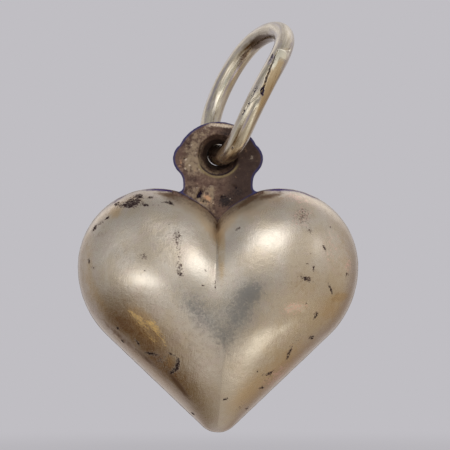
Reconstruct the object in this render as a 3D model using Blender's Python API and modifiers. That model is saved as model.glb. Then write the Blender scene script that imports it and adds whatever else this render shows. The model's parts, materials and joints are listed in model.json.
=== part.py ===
"""Puffed heart pendant on a jump ring.

Two pressed silver shells meet at a soldered rim. A cast lug is soldered into the
cleft between the lobes. A scarfed wire ring hangs through the lug's eye.

The front faces -Y and the tip points to -Z. The world origin is the underside of
the jump ring's highest point, where a chain bears.
"""
import math

import bmesh
import bpy
from mathutils import Matrix, Vector

MM = 0.001

# Heart outline, seen from the front, about a lobe's centre
LOBE_RADIUS = 4.97 * MM
LOBE_OFFSET = 3.92 * MM
FLANK_RADIUS = 6.00 * MM
SIDE_SLANT = math.radians(46.4)
TIP_RADIUS = 1.39 * MM

# Heart relief: the crests' height and fall, how far their highest places lie below the
# lobes' centres, the valley under the cleft, the crests' drift to the middle, and the
# ridge towards the tip
CREST_HEIGHT = 4.10 * MM
CREST_POWER = 0.57
PEAK_DROP = 1.68 * MM
VALLEY_LENGTH = 5.90 * MM
VALLEY_FILL_SHARE = 0.998
DRIFT_START = 2.00 * MM
DRIFT_LENGTH = 5.80 * MM
RIDGE_START = -3.00 * MM
RIDGE_LENGTH = 4.00 * MM
RIDGE_SHARE = 0.40

# How far the crests lean in from the lobes' centres, where the lean starts, the height over
# which it grows, and the height over which it fades below the lobes' tops
CREST_LEAN = 1.30 * MM
LEAN_START = -4.00 * MM
LEAN_LENGTH = 5.00 * MM
LEAN_FADE = 1.80 * MM

# Pressed sheet and the solder seam between the two rims
SHEET_THICKNESS = 0.45 * MM
SEAM_THICKNESS = 0.12 * MM

# Lug: a flat plate with an eye, two ears, a waist and a root filed to a V
EYE_ABOVE_LOBES = 2.16 * MM
LUG_THICKNESS = 2.00 * MM
LUG_EDGE_ROUND = 0.30 * MM
CROWN_RADIUS = 2.74 * MM
CROWN_DROP = 0.64 * MM
EAR_RADIUS = 1.08 * MM
EAR_PROUD = 0.16 * MM
EAR_BEARING = math.radians(12.4)
NECK_INSET = 0.54 * MM
WAIST_RADIUS = 1.00 * MM
FLARE_RADIUS = 0.32 * MM
KNEE_HALF_WIDTH = 0.89 * MM
KNEE_SINK = 0.22 * MM
ROOT_SINK = 0.26 * MM
LUG_SOLDER_THICKNESS = 0.12 * MM
LUG_SOLDER_PROUD = 0.08 * MM

# Eye through the lug, countersunk from both faces
EYE_RADIUS = 0.98 * MM
COUNTERSINK_RADIUS = 1.30 * MM
COUNTERSINK_DEPTH = 0.42 * MM

# Jump ring: round wire, sprung a little out of flat, with a scarfed joint
WIRE_DIAMETER = 1.25 * MM
RING_RADIUS = 4.375 * MM
RING_LEAN = math.radians(26.6)
RING_YAW = math.radians(17.1)
RING_WARP_TWICE = 0.28 * MM
RING_WARP_THRICE = 0.10 * MM
SCARF_PLACE = math.radians(62.0)
SCARF_SLANT = math.radians(20.0)
RING_SOLDER_THICKNESS = 0.12 * MM
RING_SOLDER_PROUD = 0.04 * MM

# Mesh fineness
SHELL_SEGMENTS = 44
SHELL_STEPS = 30
HOLLOW_SEGMENTS = 28
HOLLOW_STEPS = 20
ARC_STEP = math.radians(12.0)
EYE_STEPS = 40
RING_POINTS = 84
WIRE_SEGMENTS = 2
EDGE_SEGMENTS = 3
CORNER_ANGLE = math.radians(60.0)
SHARP_ANGLE = math.radians(35.0)

# Room that a cutter keeps past the solid it cuts, the weld distance, and the share of a
# unit circle that counts as a pole
CUTTER_ROOM = 1.00 * MM
WELD = 0.001 * MM
POLE_SHARE = 1e-6

COLLECTION_NAME = "heart_pendant"
CUTTER_COLLECTION_NAME = "cutters"


def clear_scene():
    """Removes the objects that the scene starts with."""
    for obj in list(bpy.data.objects):
        bpy.data.objects.remove(obj, do_unlink=True)


def make_collection(name):
    """Adds a collection to the scene."""
    collection = bpy.data.collections.new(name)
    bpy.context.scene.collection.children.link(collection)
    return collection


def make_material(name, colour, metallic, roughness):
    """A Principled material in one colour."""
    material = bpy.data.materials.new(name)
    material.use_nodes = True
    shader = material.node_tree.nodes["Principled BSDF"]
    shader.inputs["Base Color"].default_value = (*colour, 1.0)
    shader.inputs["Metallic"].default_value = metallic
    shader.inputs["Roughness"].default_value = roughness
    material.diffuse_color = (*colour, 1.0)
    return material


def add_object(name, mesh, collection, parent):
    """Links a mesh as a named object under its parent empty."""
    obj = bpy.data.objects.new(name, mesh)
    collection.objects.link(obj)
    obj.parent = parent
    return obj


def hide_cutter(obj):
    """Marks an object as a cutter."""
    obj.hide_render = True
    obj.display_type = "WIRE"


def add_boolean(obj, name, operation, cutter):
    """Adds one exact Boolean."""
    boolean = obj.modifiers.new(name, "BOOLEAN")
    boolean.operation = operation
    boolean.solver = "EXACT"
    boolean.object = cutter


def smooth_step(share):
    """Rises from 0 to 1 with level ends."""
    share = min(max(share, 0.0), 1.0)
    return share * share * (3.0 - 2.0 * share)


def root_of(value):
    """Square root, with rounding below zero taken as zero."""
    return math.sqrt(max(value, 0.0))


def flank_centre():
    """Distance of a flank arc's centre from the centre line."""
    return LOBE_OFFSET + LOBE_RADIUS - FLANK_RADIUS


def side_distance():
    """Distance of a straight side's line from the midpoint between the lobes' centres."""
    return flank_centre() * math.cos(SIDE_SLANT) + FLANK_RADIUS


def tip_centre():
    """Height of the tip arc's centre, below the lobes' centres."""
    return -(side_distance() - TIP_RADIUS) / math.sin(SIDE_SLANT)


def eye_to_lobes():
    """Height of the eye above the lobes' centres."""
    return LOBE_RADIUS + EYE_ABOVE_LOBES


def half_width(height, inset):
    """Half-width of the outline at a height, drawn in by an inset."""
    lobe = LOBE_RADIUS - inset
    flank = FLANK_RADIUS - inset
    tip = TIP_RADIUS - inset
    if height >= 0.0:
        return LOBE_OFFSET + root_of(lobe ** 2 - height ** 2)
    if height >= -flank * math.sin(SIDE_SLANT):
        return flank_centre() + root_of(flank ** 2 - height ** 2)
    if height >= tip_centre() - tip * math.sin(SIDE_SLANT):
        reach = side_distance() - inset + height * math.sin(SIDE_SLANT)
        return reach / math.cos(SIDE_SLANT)
    return root_of(tip ** 2 - (height - tip_centre()) ** 2)


def body_limits(inset):
    """How far the body reaches above and below the lobes' centres."""
    return LOBE_RADIUS - inset, -tip_centre() + TIP_RADIUS - inset


def crest_height(across, height, inset):
    """Height of the crests above the rim plane: round above, sharper towards the tip."""
    peak = -PEAK_DROP * smooth_step(abs(across) / LOBE_OFFSET)
    above, below = body_limits(inset)
    rise = height - peak
    if rise >= 0.0:
        return (CREST_HEIGHT - inset) * root_of(1.0 - (rise / (above - peak)) ** 2)
    return (CREST_HEIGHT - inset) * max(1.0 - (rise / (below + peak)) ** 2, 0.0) ** CREST_POWER


def upright_crest_line(height, inset):
    """Distance of a lobe's crest from the centre line before it leans in."""
    drift = smooth_step((DRIFT_START - height) / DRIFT_LENGTH)
    ridge = smooth_step((RIDGE_START - height) / RIDGE_LENGTH)
    return LOBE_OFFSET * (1.0 - drift) - RIDGE_SHARE * half_width(height, inset) * ridge


def crest_line(height, inset):
    """Distance of a lobe's crest from the centre line; below zero it makes a ridge."""
    lean = smooth_step((height - LEAN_START) / LEAN_LENGTH)
    fade = smooth_step((body_limits(inset)[0] - height) / LEAN_FADE)
    return upright_crest_line(height, inset) - CREST_LEAN * lean * fade


def cleft_height(inset):
    """Height at which the two lobes' outlines meet on the centre line."""
    return root_of((LOBE_RADIUS - inset) ** 2 - LOBE_OFFSET ** 2)


def inner_reach(height, inset):
    """Half-width of a lobe's section on its inner side, past the centre line where it is cut."""
    crest = crest_line(height, inset)
    depth = cleft_height(inset) - height
    if depth <= 0.0:
        return crest - LOBE_OFFSET + root_of((LOBE_RADIUS - inset) ** 2 - height ** 2)
    upright = upright_crest_line(height, inset)
    outer = half_width(height, inset) - upright
    filled = min(math.sin(0.5 * math.pi * min(depth / VALLEY_LENGTH, 1.0)), VALLEY_FILL_SHARE)
    reach = max(upright / math.sqrt(1.0 - filled), outer)
    return reach * crest / upright if crest > WELD else reach


def keep_right_half(body):
    """Cuts a mesh open at the centre line and keeps its right half."""
    geometry = body.verts[:] + body.edges[:] + body.faces[:]
    middle = (0.0, 0.0, 0.0)
    right = (1.0, 0.0, 0.0)
    bmesh.ops.bisect_plane(
        body, geom=geometry, dist=WELD, plane_co=middle, plane_no=right, clear_inner=True
    )
    for vertex in body.verts:
        if vertex.is_boundary:
            vertex.co.x = 0.0


def make_puffed_body(name, inset, around, rise, collection, parent):
    """The heart's whole puffed body, drawn in by an inset: a sphere reshaped, and mirrored."""
    mesh = bpy.data.meshes.new(name)
    body = bmesh.new()
    bmesh.ops.create_uvsphere(body, u_segments=around, v_segments=rise, radius=1.0)
    above, below = body_limits(inset)
    for vertex in body.verts:
        unit = vertex.co.copy()
        circle = root_of(1.0 - unit.z ** 2)
        height = unit.z * (above if unit.z >= 0.0 else below)
        crest = crest_line(height, inset)
        across = crest
        out = 0.0
        if circle > POLE_SHARE:
            outer = half_width(height, inset) - crest
            reach = outer if unit.x >= 0.0 else inner_reach(height, inset)
            across += reach * unit.x / circle
            out = crest_height(across, height, inset) * unit.y / circle
        vertex.co = Vector((across, out, height - eye_to_lobes()))
    keep_right_half(body)
    body.to_mesh(mesh)
    body.free()
    obj = add_object(name, mesh, collection, parent)
    mirror = obj.modifiers.new("other_lobe", "MIRROR")
    mirror.use_axis = (True, False, False)
    mirror.merge_threshold = WELD
    return obj


def make_box(name, low, high, collection, parent):
    """A box between two corners."""
    mesh = bpy.data.meshes.new(name)
    box = bmesh.new()
    bmesh.ops.create_cube(box, size=1.0)
    low = Vector(low)
    high = Vector(high)
    for vertex in box.verts:
        share = vertex.co + Vector((0.5, 0.5, 0.5))
        vertex.co = Vector(a + (b - a) * s for a, b, s in zip(low, high, share))
    box.to_mesh(mesh)
    box.free()
    return add_object(name, mesh, collection, parent)


def arc(centre, radius, start, end):
    """Points along an arc in the XZ plane, both ends included."""
    count = max(2, math.ceil(abs(end - start) / ARC_STEP))
    angles = (start + (end - start) * i / count for i in range(count + 1))
    return [(centre[0] + radius * math.cos(a), centre[1] + radius * math.sin(a)) for a in angles]


def lobe_centre():
    """The right lobe's centre, seen from the eye."""
    return (LOBE_OFFSET, -eye_to_lobes())


def lobe_edge(across):
    """Height of the lobe's upper outline at a distance from the centre line."""
    return root_of(LOBE_RADIUS ** 2 - (across - LOBE_OFFSET) ** 2) - eye_to_lobes()


def neck_half_width():
    """Half-width of the lug's neck, drawn in from the crown's side."""
    return CROWN_RADIUS - NECK_INSET


def flare_centre():
    """Centre of the arc that joins the neck to the lobe's top."""
    across = neck_half_width() + FLARE_RADIUS
    rise = root_of((LOBE_RADIUS + FLARE_RADIUS) ** 2 - (LOBE_OFFSET - across) ** 2)
    return (across, rise - eye_to_lobes())


def web_tip():
    """Where the flare meets the lobe's outline, and the filed root begins."""
    flare = flare_centre()
    lobe = lobe_centre()
    share = LOBE_RADIUS / (LOBE_RADIUS + FLARE_RADIUS)
    return (lobe[0] + (flare[0] - lobe[0]) * share, lobe[1] + (flare[1] - lobe[1]) * share)


def mirrored(points):
    """The points of the right side, followed by the same ones on the left, back up."""
    return points + [(-x, z) for x, z in reversed(points) if x > WELD]


def lug_upper_side():
    """The lug's outline on the right, from the crown down to the web's tip."""
    crown = (0.0, -CROWN_DROP)
    gap = CROWN_RADIUS + EAR_PROUD - EAR_RADIUS
    ear = (gap * math.cos(EAR_BEARING), crown[1] + gap * math.sin(EAR_BEARING))
    overlap = CROWN_RADIUS ** 2 + gap ** 2 - EAR_RADIUS ** 2
    notch_angle = EAR_BEARING + math.acos(overlap / (2.0 * CROWN_RADIUS * gap))
    notch = (
        crown[0] + CROWN_RADIUS * math.cos(notch_angle),
        crown[1] + CROWN_RADIUS * math.sin(notch_angle),
    )
    ear_start = math.atan2(notch[1] - ear[1], notch[0] - ear[0])
    waist_across = neck_half_width() + WAIST_RADIUS
    waist_drop = root_of((EAR_RADIUS + WAIST_RADIUS) ** 2 - (waist_across - ear[0]) ** 2)
    waist = (waist_across, ear[1] - waist_drop)
    ear_end = math.atan2(waist[1] - ear[1], waist[0] - ear[0])
    flare = flare_centre()
    lobe = lobe_centre()
    flare_end = math.atan2(lobe[1] - flare[1], lobe[0] - flare[0]) + 2.0 * math.pi
    side = arc(crown, CROWN_RADIUS, 0.5 * math.pi, notch_angle)
    side += arc(ear, EAR_RADIUS, ear_start, ear_end)[1:]
    side += arc(waist, WAIST_RADIUS, ear_end + math.pi, math.pi)[1:]
    side += arc(flare, FLARE_RADIUS, math.pi, flare_end)
    return side


def root_side():
    """The filed root on the right, from the web's tip down to its point."""
    knee = (KNEE_HALF_WIDTH, lobe_edge(KNEE_HALF_WIDTH) - KNEE_SINK)
    point = (0.0, lobe_edge(0.0) - ROOT_SINK)
    return [web_tip(), knee, point]


def line_crossing(first, first_way, second, second_way):
    """Where two lines in the XZ plane cross."""
    across = first_way[0] * second_way[1] - first_way[1] * second_way[0]
    gap = (second[0] - first[0], second[1] - first[1])
    step = (gap[0] * second_way[1] - gap[1] * second_way[0]) / across
    return (first[0] + first_way[0] * step, first[1] + first_way[1] * step)


def circle_crossing(point, way, centre, radius):
    """Where a line from inside a circle leaves it."""
    offset = (point[0] - centre[0], point[1] - centre[1])
    along = offset[0] * way[0] + offset[1] * way[1]
    inside = offset[0] ** 2 + offset[1] ** 2 - radius ** 2
    step = -along + root_of(along ** 2 - inside)
    return (point[0] + way[0] * step, point[1] + way[1] * step)


def seat_side():
    """The seat filed in the lobes on the right: the root's flats, one solder film lower."""
    tip, knee, point = root_side()
    shoulder_length = math.dist(tip, knee)
    shoulder = ((tip[0] - knee[0]) / shoulder_length, (tip[1] - knee[1]) / shoulder_length)
    flat_length = math.dist(knee, point)
    flat = ((knee[0] - point[0]) / flat_length, (knee[1] - point[1]) / flat_length)
    film = LUG_SOLDER_THICKNESS
    low_shoulder = (knee[0] + shoulder[1] * film, knee[1] - shoulder[0] * film)
    low_flat = (knee[0] + flat[1] * film, knee[1] - flat[0] * film)
    low_knee = line_crossing(low_shoulder, shoulder, low_flat, flat)
    low_point = line_crossing(low_flat, flat, (0.0, point[1]), (0.0, 1.0))
    low_tip = circle_crossing(low_knee, shoulder, lobe_centre(), LOBE_RADIUS)
    return [low_tip, low_knee, low_point]


def make_plate(name, outline, thickness, collection, parent):
    """A flat outline in the XZ plane, given a thickness along Y, as a welded mesh."""
    curve = bpy.data.curves.new(name, "CURVE")
    curve.dimensions = "2D"
    curve.fill_mode = "BOTH"
    curve.extrude = 0.5 * thickness
    spline = curve.splines.new("POLY")
    spline.points.add(len(outline) - 1)
    for point, (x, z) in zip(spline.points, outline):
        point.co = (x, z, 0.0, 1.0)
    spline.use_cyclic_u = True
    guide = bpy.data.objects.new(name + "_outline", curve)
    collection.objects.link(guide)
    upright = Matrix.Rotation(0.5 * math.pi, 4, "X")
    mesh = mesh_of_curve(guide, name)
    mesh.transform(upright)
    return add_object(name, mesh, collection, parent)


def mesh_of_curve(guide, name):
    """Turns a curve object into a welded mesh and removes the curve."""
    depsgraph = bpy.context.evaluated_depsgraph_get()
    mesh = bpy.data.meshes.new_from_object(guide.evaluated_get(depsgraph))
    mesh.name = name
    bpy.data.objects.remove(guide, do_unlink=True)
    welded = bmesh.new()
    welded.from_mesh(mesh)
    bmesh.ops.remove_doubles(welded, verts=welded.verts, dist=WELD)
    bmesh.ops.recalc_face_normals(welded, faces=welded.faces)
    welded.to_mesh(mesh)
    welded.free()
    return mesh


def make_seat_cutter(collection, parent):
    """Cuts the lug's seat in the cleft, through both shells and their seam."""
    side = seat_side()
    sky = web_tip()[1] + CUTTER_ROOM
    outline = mirrored([(side[0][0], sky)] + side)
    depth = 2.0 * (CREST_HEIGHT + CUTTER_ROOM)
    cutter = make_plate("seat_cutter", outline, depth, collection, parent)
    hide_cutter(cutter)
    return cutter


def make_eye_cutter(collection, parent):
    """A turned cutter for the eye and its two countersinks."""
    face = 0.5 * LUG_THICKNESS
    slope = (COUNTERSINK_RADIUS - EYE_RADIUS) / COUNTERSINK_DEPTH
    end = face + CUTTER_ROOM
    end_radius = COUNTERSINK_RADIUS + slope * CUTTER_ROOM
    wall_end = face - COUNTERSINK_DEPTH
    profile = [(0.0, end), (end_radius, end), (EYE_RADIUS, wall_end)]
    profile += [(radius, -height) for radius, height in reversed(profile)]
    mesh = bpy.data.meshes.new("eye_cutter")
    vertices = [(radius, 0.0, height) for radius, height in profile]
    edges = [(i, i + 1) for i in range(len(profile) - 1)]
    mesh.from_pydata(vertices, edges, [])
    cutter = add_object("eye_cutter", mesh, collection, parent)
    cutter.rotation_euler = (0.5 * math.pi, 0.0, 0.0)
    screw = cutter.modifiers.new("turn", "SCREW")
    screw.axis = "Z"
    screw.steps = EYE_STEPS
    screw.render_steps = EYE_STEPS
    screw.use_merge_vertices = True
    screw.merge_threshold = WELD
    hide_cutter(cutter)
    return cutter


def make_shells(parts, cutters, hinge, silver):
    """The front and back shells and the solder seam between their flat rims."""
    reach = 2.0 * (LOBE_OFFSET + LOBE_RADIUS)
    lowest = -eye_to_lobes() + tip_centre() - TIP_RADIUS - CUTTER_ROOM
    highest = CUTTER_ROOM
    depth = CREST_HEIGHT + CUTTER_ROOM
    seam = 0.5 * SEAM_THICKNESS
    lowest_corner = Vector((-reach, -seam, lowest))
    highest_corner = Vector((reach, seam, highest))
    behind = Vector((0.0, depth - seam, 0.0))
    back_room = make_box("back_room", lowest_corner, highest_corner + behind, cutters, hinge)
    front_room = make_box("front_room", lowest_corner - behind, highest_corner, cutters, hinge)
    seam_room = make_box("seam_room", lowest_corner, highest_corner, cutters, hinge)
    hollow = make_puffed_body(
        "hollow", SHEET_THICKNESS, HOLLOW_SEGMENTS, HOLLOW_STEPS, cutters, hinge
    )
    seat = make_seat_cutter(cutters, hinge)
    for cutter in (back_room, front_room, seam_room, hollow):
        hide_cutter(cutter)
    pieces = (
        ("heart_front_shell", "DIFFERENCE", back_room, silver["shell"]),
        ("heart_back_shell", "DIFFERENCE", front_room, silver["shell_back"]),
        ("rim_solder", "INTERSECT", seam_room, silver["rim"]),
    )
    for name, operation, room, material in pieces:
        piece = make_puffed_body(name, 0.0, SHELL_SEGMENTS, SHELL_STEPS, parts, hinge)
        piece.data.materials.append(material)
        add_boolean(piece, "hollow", "DIFFERENCE", hollow)
        add_boolean(piece, "rim_cut", operation, room)
        add_boolean(piece, "lug_seat", "DIFFERENCE", seat)


def round_upper_edges(obj, lowest):
    """Rounds the front and back edges of a plate, above a height."""
    edged = bmesh.new()
    edged.from_mesh(obj.data)
    weights = edged.edges.layers.float.new("bevel_weight_edge")
    for edge in edged.edges:
        along_plate = abs(edge.verts[0].co.y - edge.verts[1].co.y) < WELD
        high = min(vertex.co.z for vertex in edge.verts) > lowest
        turned = edge.calc_face_angle(0.0) > CORNER_ANGLE
        edge[weights] = 1.0 if along_plate and high and turned else 0.0
    edged.to_mesh(obj.data)
    edged.free()
    bevel = obj.modifiers.new("edge_round", "BEVEL")
    bevel.limit_method = "WEIGHT"
    bevel.width = LUG_EDGE_ROUND
    bevel.segments = EDGE_SEGMENTS


def make_lug(parts, cutters, hinge, material):
    """The cast lug: ears, waist, flares and filed root, with the countersunk eye."""
    outline = mirrored(lug_upper_side() + root_side()[1:])
    lug = make_plate("lug", outline, LUG_THICKNESS, parts, hinge)
    lug.data.materials.append(material)
    round_upper_edges(lug, web_tip()[1] + WELD)
    add_boolean(lug, "eye", "DIFFERENCE", make_eye_cutter(cutters, hinge))


def make_lug_solder(parts, hinge, material):
    """The V of solder between the lug's root and its seat in the shells."""
    upper = mirrored(root_side())
    lower = mirrored(seat_side())
    outline = upper + lower[::-1]
    thickness = LUG_THICKNESS + 2.0 * LUG_SOLDER_PROUD
    solder = make_plate("lug_solder", outline, thickness, parts, hinge)
    solder.data.materials.append(material)


def ring_axes():
    """Up the ring, towards the front along it, and square to it."""
    up = Vector((math.sin(RING_LEAN), 0.0, math.cos(RING_LEAN)))
    flat_front = Vector((0.0, -1.0, 0.0))
    flat_side = Vector((math.cos(RING_LEAN), 0.0, -math.sin(RING_LEAN)))
    front = flat_front * math.cos(RING_YAW) + flat_side * math.sin(RING_YAW)
    side = flat_side * math.cos(RING_YAW) - flat_front * math.sin(RING_YAW)
    return up, front, side


def ring_point(turn):
    """A point on the wire's centre line, seen from the eye; half a turn is in the eye."""
    up, front, side = ring_axes()
    warp = RING_WARP_TWICE * (math.cos(2.0 * turn) - 1.0) + RING_WARP_THRICE * math.sin(3.0 * turn)
    rise = RING_RADIUS * (1.0 + math.cos(turn))
    return up * rise + front * RING_RADIUS * math.sin(turn) + side * warp


def chain_seat():
    """Underside of the wire at the ring's highest point."""
    turns = [math.tau * i / RING_POINTS for i in range(RING_POINTS)]
    highest = max((ring_point(turn) for turn in turns), key=lambda point: point.z)
    return highest - Vector((0.0, 0.0, 0.5 * WIRE_DIAMETER))


def make_wire_loop(name, radius, collection, parent):
    """The whole closed loop of wire, before the joint is cut."""
    curve = bpy.data.curves.new(name, "CURVE")
    curve.dimensions = "3D"
    curve.bevel_depth = radius
    curve.bevel_resolution = WIRE_SEGMENTS
    spline = curve.splines.new("POLY")
    spline.points.add(RING_POINTS - 1)
    for i, point in enumerate(spline.points):
        point.co = (*ring_point(math.tau * i / RING_POINTS), 1.0)
    spline.use_cyclic_u = True
    guide = bpy.data.objects.new(name + "_line", curve)
    collection.objects.link(guide)
    mesh = mesh_of_curve(guide, name)
    return add_object(name, mesh, collection, parent)


def make_scarf_slot(cutters, parent):
    """A thin slab, slanted across the wire, where the ring's ends meet."""
    step = math.tau / RING_POINTS
    centre = ring_point(SCARF_PLACE)
    along = (ring_point(SCARF_PLACE + step) - ring_point(SCARF_PLACE - step)).normalized()
    side = ring_axes()[2]
    side = (side - along * side.dot(along)).normalized()
    normal = side * math.cos(SCARF_SLANT) + along * math.sin(SCARF_SLANT)
    length_way = along * math.cos(SCARF_SLANT) - side * math.sin(SCARF_SLANT)
    radial = normal.cross(length_way)
    half_length = 0.5 * WIRE_DIAMETER / math.sin(SCARF_SLANT) + CUTTER_ROOM
    corner = Vector((half_length, WIRE_DIAMETER, 0.5 * RING_SOLDER_THICKNESS))
    slot = make_box("scarf_slot", -corner, corner, cutters, parent)
    turn = Matrix((length_way, radial, normal)).transposed().to_4x4()
    slot.data.transform(Matrix.Translation(centre) @ turn)
    hide_cutter(slot)
    return slot


def make_ring(parts, cutters, parent, wire_material, solder_material):
    """The jump ring with its scarfed ends, and the solder between them."""
    slot = make_scarf_slot(cutters, parent)
    ring = make_wire_loop("jump_ring", 0.5 * WIRE_DIAMETER, parts, parent)
    ring.data.materials.append(wire_material)
    add_boolean(ring, "scarf", "DIFFERENCE", slot)
    solder_radius = 0.5 * WIRE_DIAMETER + RING_SOLDER_PROUD
    solder = make_wire_loop("ring_solder", solder_radius, parts, parent)
    solder.data.materials.append(solder_material)
    add_boolean(solder, "scarf", "INTERSECT", slot)


def shade(collection):
    """Smooth shading, with the true corners kept sharp."""
    for obj in collection.objects:
        if obj.type == "MESH":
            obj.data.shade_smooth()
            obj.data.set_sharp_from_angle(angle=SHARP_ANGLE)


def add_empty(name, place, collection):
    """An empty that carries the pieces of one body."""
    empty = bpy.data.objects.new(name, None)
    collection.objects.link(empty)
    empty.empty_display_size = WIRE_DIAMETER
    empty.location = place
    return empty


def build():
    """Builds the pendant."""
    clear_scene()
    parts = make_collection(COLLECTION_NAME)
    cutters = make_collection(CUTTER_COLLECTION_NAME)
    eye = -chain_seat()
    hinge = add_empty("swing_axis", eye, parts)
    ring_frame = add_empty("ring_frame", eye, parts)
    silver = {
        "shell": make_material("front_silver", (0.62, 0.56, 0.44), 1.0, 0.28),
        "shell_back": make_material("back_silver", (0.58, 0.53, 0.42), 1.0, 0.30),
        "rim": make_material("rim_solder_silver", (0.50, 0.43, 0.31), 1.0, 0.36),
    }
    lug_metal = make_material("lug_patina", (0.16, 0.11, 0.08), 0.8, 0.50)
    lug_solder = make_material("lug_solder_brown", (0.20, 0.14, 0.09), 0.8, 0.50)
    wire = make_material("wire_silver", (0.64, 0.59, 0.48), 1.0, 0.25)
    ring_solder = make_material("ring_solder_gold", (0.55, 0.41, 0.22), 1.0, 0.35)
    make_shells(parts, cutters, hinge, silver)
    make_lug(parts, cutters, hinge, lug_metal)
    make_lug_solder(parts, hinge, lug_solder)
    make_ring(parts, cutters, ring_frame, wire, ring_solder)
    shade(parts)


build()
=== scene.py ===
"""The visible finish of the heart pendant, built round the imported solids.

Everything is shaped in millimetres, seen from the eye of the lug, and set down in metres.
"""
import json
import math
from collections import namedtuple

import bmesh
import bpy
import numpy as np
from mathutils import Matrix


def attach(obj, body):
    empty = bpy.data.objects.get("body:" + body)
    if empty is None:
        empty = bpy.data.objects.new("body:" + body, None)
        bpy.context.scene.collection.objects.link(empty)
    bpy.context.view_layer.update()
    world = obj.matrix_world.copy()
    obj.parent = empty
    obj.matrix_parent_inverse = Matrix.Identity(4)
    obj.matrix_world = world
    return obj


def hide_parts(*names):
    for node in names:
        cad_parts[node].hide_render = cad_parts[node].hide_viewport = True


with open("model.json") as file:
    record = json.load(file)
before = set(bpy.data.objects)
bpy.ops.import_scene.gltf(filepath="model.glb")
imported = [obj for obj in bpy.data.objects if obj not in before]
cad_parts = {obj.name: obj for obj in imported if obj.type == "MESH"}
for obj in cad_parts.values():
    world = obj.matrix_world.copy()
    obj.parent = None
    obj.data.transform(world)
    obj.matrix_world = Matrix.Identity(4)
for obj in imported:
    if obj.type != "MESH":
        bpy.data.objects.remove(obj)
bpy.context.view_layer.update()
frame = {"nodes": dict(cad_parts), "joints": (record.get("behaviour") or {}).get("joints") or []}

MM = 0.001
EYE = np.array(frame["joints"][0]["pos_m"]) / MM

# Heart outline, about the middle of the lobes
LOBE_RADIUS = 4.97
LOBE_OFFSET = 3.92
FLANK_RADIUS = 6.00
SIDE_SLANT = math.radians(46.4)
TIP_RADIUS = 1.39
VALLEY_FILL = 0.998
RIDGE = (-3.00, -4.00)
SHEET_THICKNESS = 0.45
HALF_SEAM = 0.06
EYE_TO_LOBES = 7.13
TOP_FADE = 1.80
LEAN = (-4.00, 5.00)
LEAST_CREST = 0.05

# Relief of each shell: the crests' height and fall, the valley's length, the place and width
# of the crests' drift to the middle, the ridge, then each lobe's drop of its highest place
# and lean of its crest, left first, and the share of the bumps and of the creases' wander
Form = namedtuple("Form", "height power valley drift ridge drops leans bumps wander")
FRONT_FORM = Form(3.90, 0.70, 5.60, (1.0, -6.2), 0.30, (1.44, 1.25), (0.14, 1.01), 1.0, 1.0)
BACK_FORM = Form(4.10, 0.57, 5.90, (2.0, -5.8), 0.40, (1.60, 1.75), (1.20, 1.38), -0.30, -0.5)

# Unevenness of the pressing: height of a row of soft bumps, where the row starts, the bumps
BUMP_PITCH = 2.0
BUMP_SIZE = 1.5
BUMP_EDGE = 1.6
BUMPS = (
    (3.2, -6.0, (0.08, 0.02, -0.18, 0.32, -0.01, 0.19, 0.11)),
    (1.2, -8.0, (-0.17, -0.32, -0.03, 0.07, 0.17, 0.05, 0.06, -0.06, -0.15)),
    (-0.8, -8.0, (-0.27, 0.10, 0.10, 0.06, 0.07, 0.11, 0.06, 0.03, -0.08)),
    (-2.8, -6.0, (-0.12, -0.03, 0.10, 0.14, 0.06, -0.05, -0.18)),
    (-4.8, -4.0, (-0.10, 0.05, 0.24, 0.20, 0.09)),
    (-6.8, -2.0, (0.04, 0.28, -0.03)),
    (-8.6, 0.0, (0.04,)),
)

# How far the crease and the ridge below it wander from the middle, by height
LINE_HEIGHTS = (-10.5, -9.4, -6.5, -5.3, -3.2, -1.5, 2.8, 4.97)
LINE_SHIFTS = (-0.06, 0.08, 0.27, 0.50, 0.10, -0.17, -0.06, 0.0)
LINE_REACH = 2.2

# Rows and columns of one lobe's half of a shell
ROWS_TO_CLEFT = 54
ROWS_TO_MIDDLE = 38
ROWS_TO_TIP = 160
OUTER_COLUMNS = 130
INNER_COLUMNS = 12
LEAST_REACH = 1e-9
WELD_DECIMALS = 5

# Hand-made unevenness of a skin: depth, size and seed
SHELL_DENTS = {"Depth": 0.030, "Size": 1.10, "Seed": 3.0}
LUG_LUMPS = {"Depth": 0.090, "Size": 0.38, "Seed": 8.0}
SOLDER_LUMPS = {"Depth": 0.070, "Size": 0.30, "Seed": 5.0}
WIRE_FLUTES = {"Depth": 0.040, "Size": 0.55, "Seed": 2.0}
SHARP_ANGLE = math.radians(40.0)

# Seam bead round the rim, and the solder in the cleft: its V, seen from the eye
SEAM_BEAD = {"Radius": 0.105, "Depth": 0.035, "Size": 0.50}
SEAM_INSET = 0.070
SEAM_SIDES = 12
OUTLINE_MIDDLE = (0.0, -2.0)
CLEFT_POINTS = 30
LOBE_POINTS = 260
ROOT_PATH = ((2.66, -2.30), (0.90, -3.46), (0.0, -4.42))
FILLET_PATH = ((2.92, -2.50), (2.30, -2.72), (0.90, -3.62), (0.0, -4.56))
FILLET_RADIUS = 0.34
FILLET_OUT = 0.86
FILLET_POINTS = 40
FILLET_SIDES = 16
FILLET_ENDS = 0.62
FILLET_TURN = 0.12

# Shell: soft edges, each a place and a width, of the skin that may move and of a pit's core;
# a pit's depth and most strength, the reach of the tarnish at the rim, of the painted dark
# reflection on the top edges, of the stain and painted shade round the lug's root and that
# band's share, and of the tarnish from the root, then the back's share of the marks
INSIDE_RIM = (0.0, 0.6)
OFF_SEAM = (0.3, 0.8)
PIT_CORE = (0.35, 1.0)
PIT_DEPTH = 0.008
PIT_MOST = 0.78
RIM_REACH = 0.40
VIOLET_REFLECTION_REACH = 1.1
STAIN_SHADE_REACH = 0.34
STAIN_SHADE_SHARE = 0.42
FLOW_REACH = 0.85
BACK_SHARE = 0.6

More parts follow.
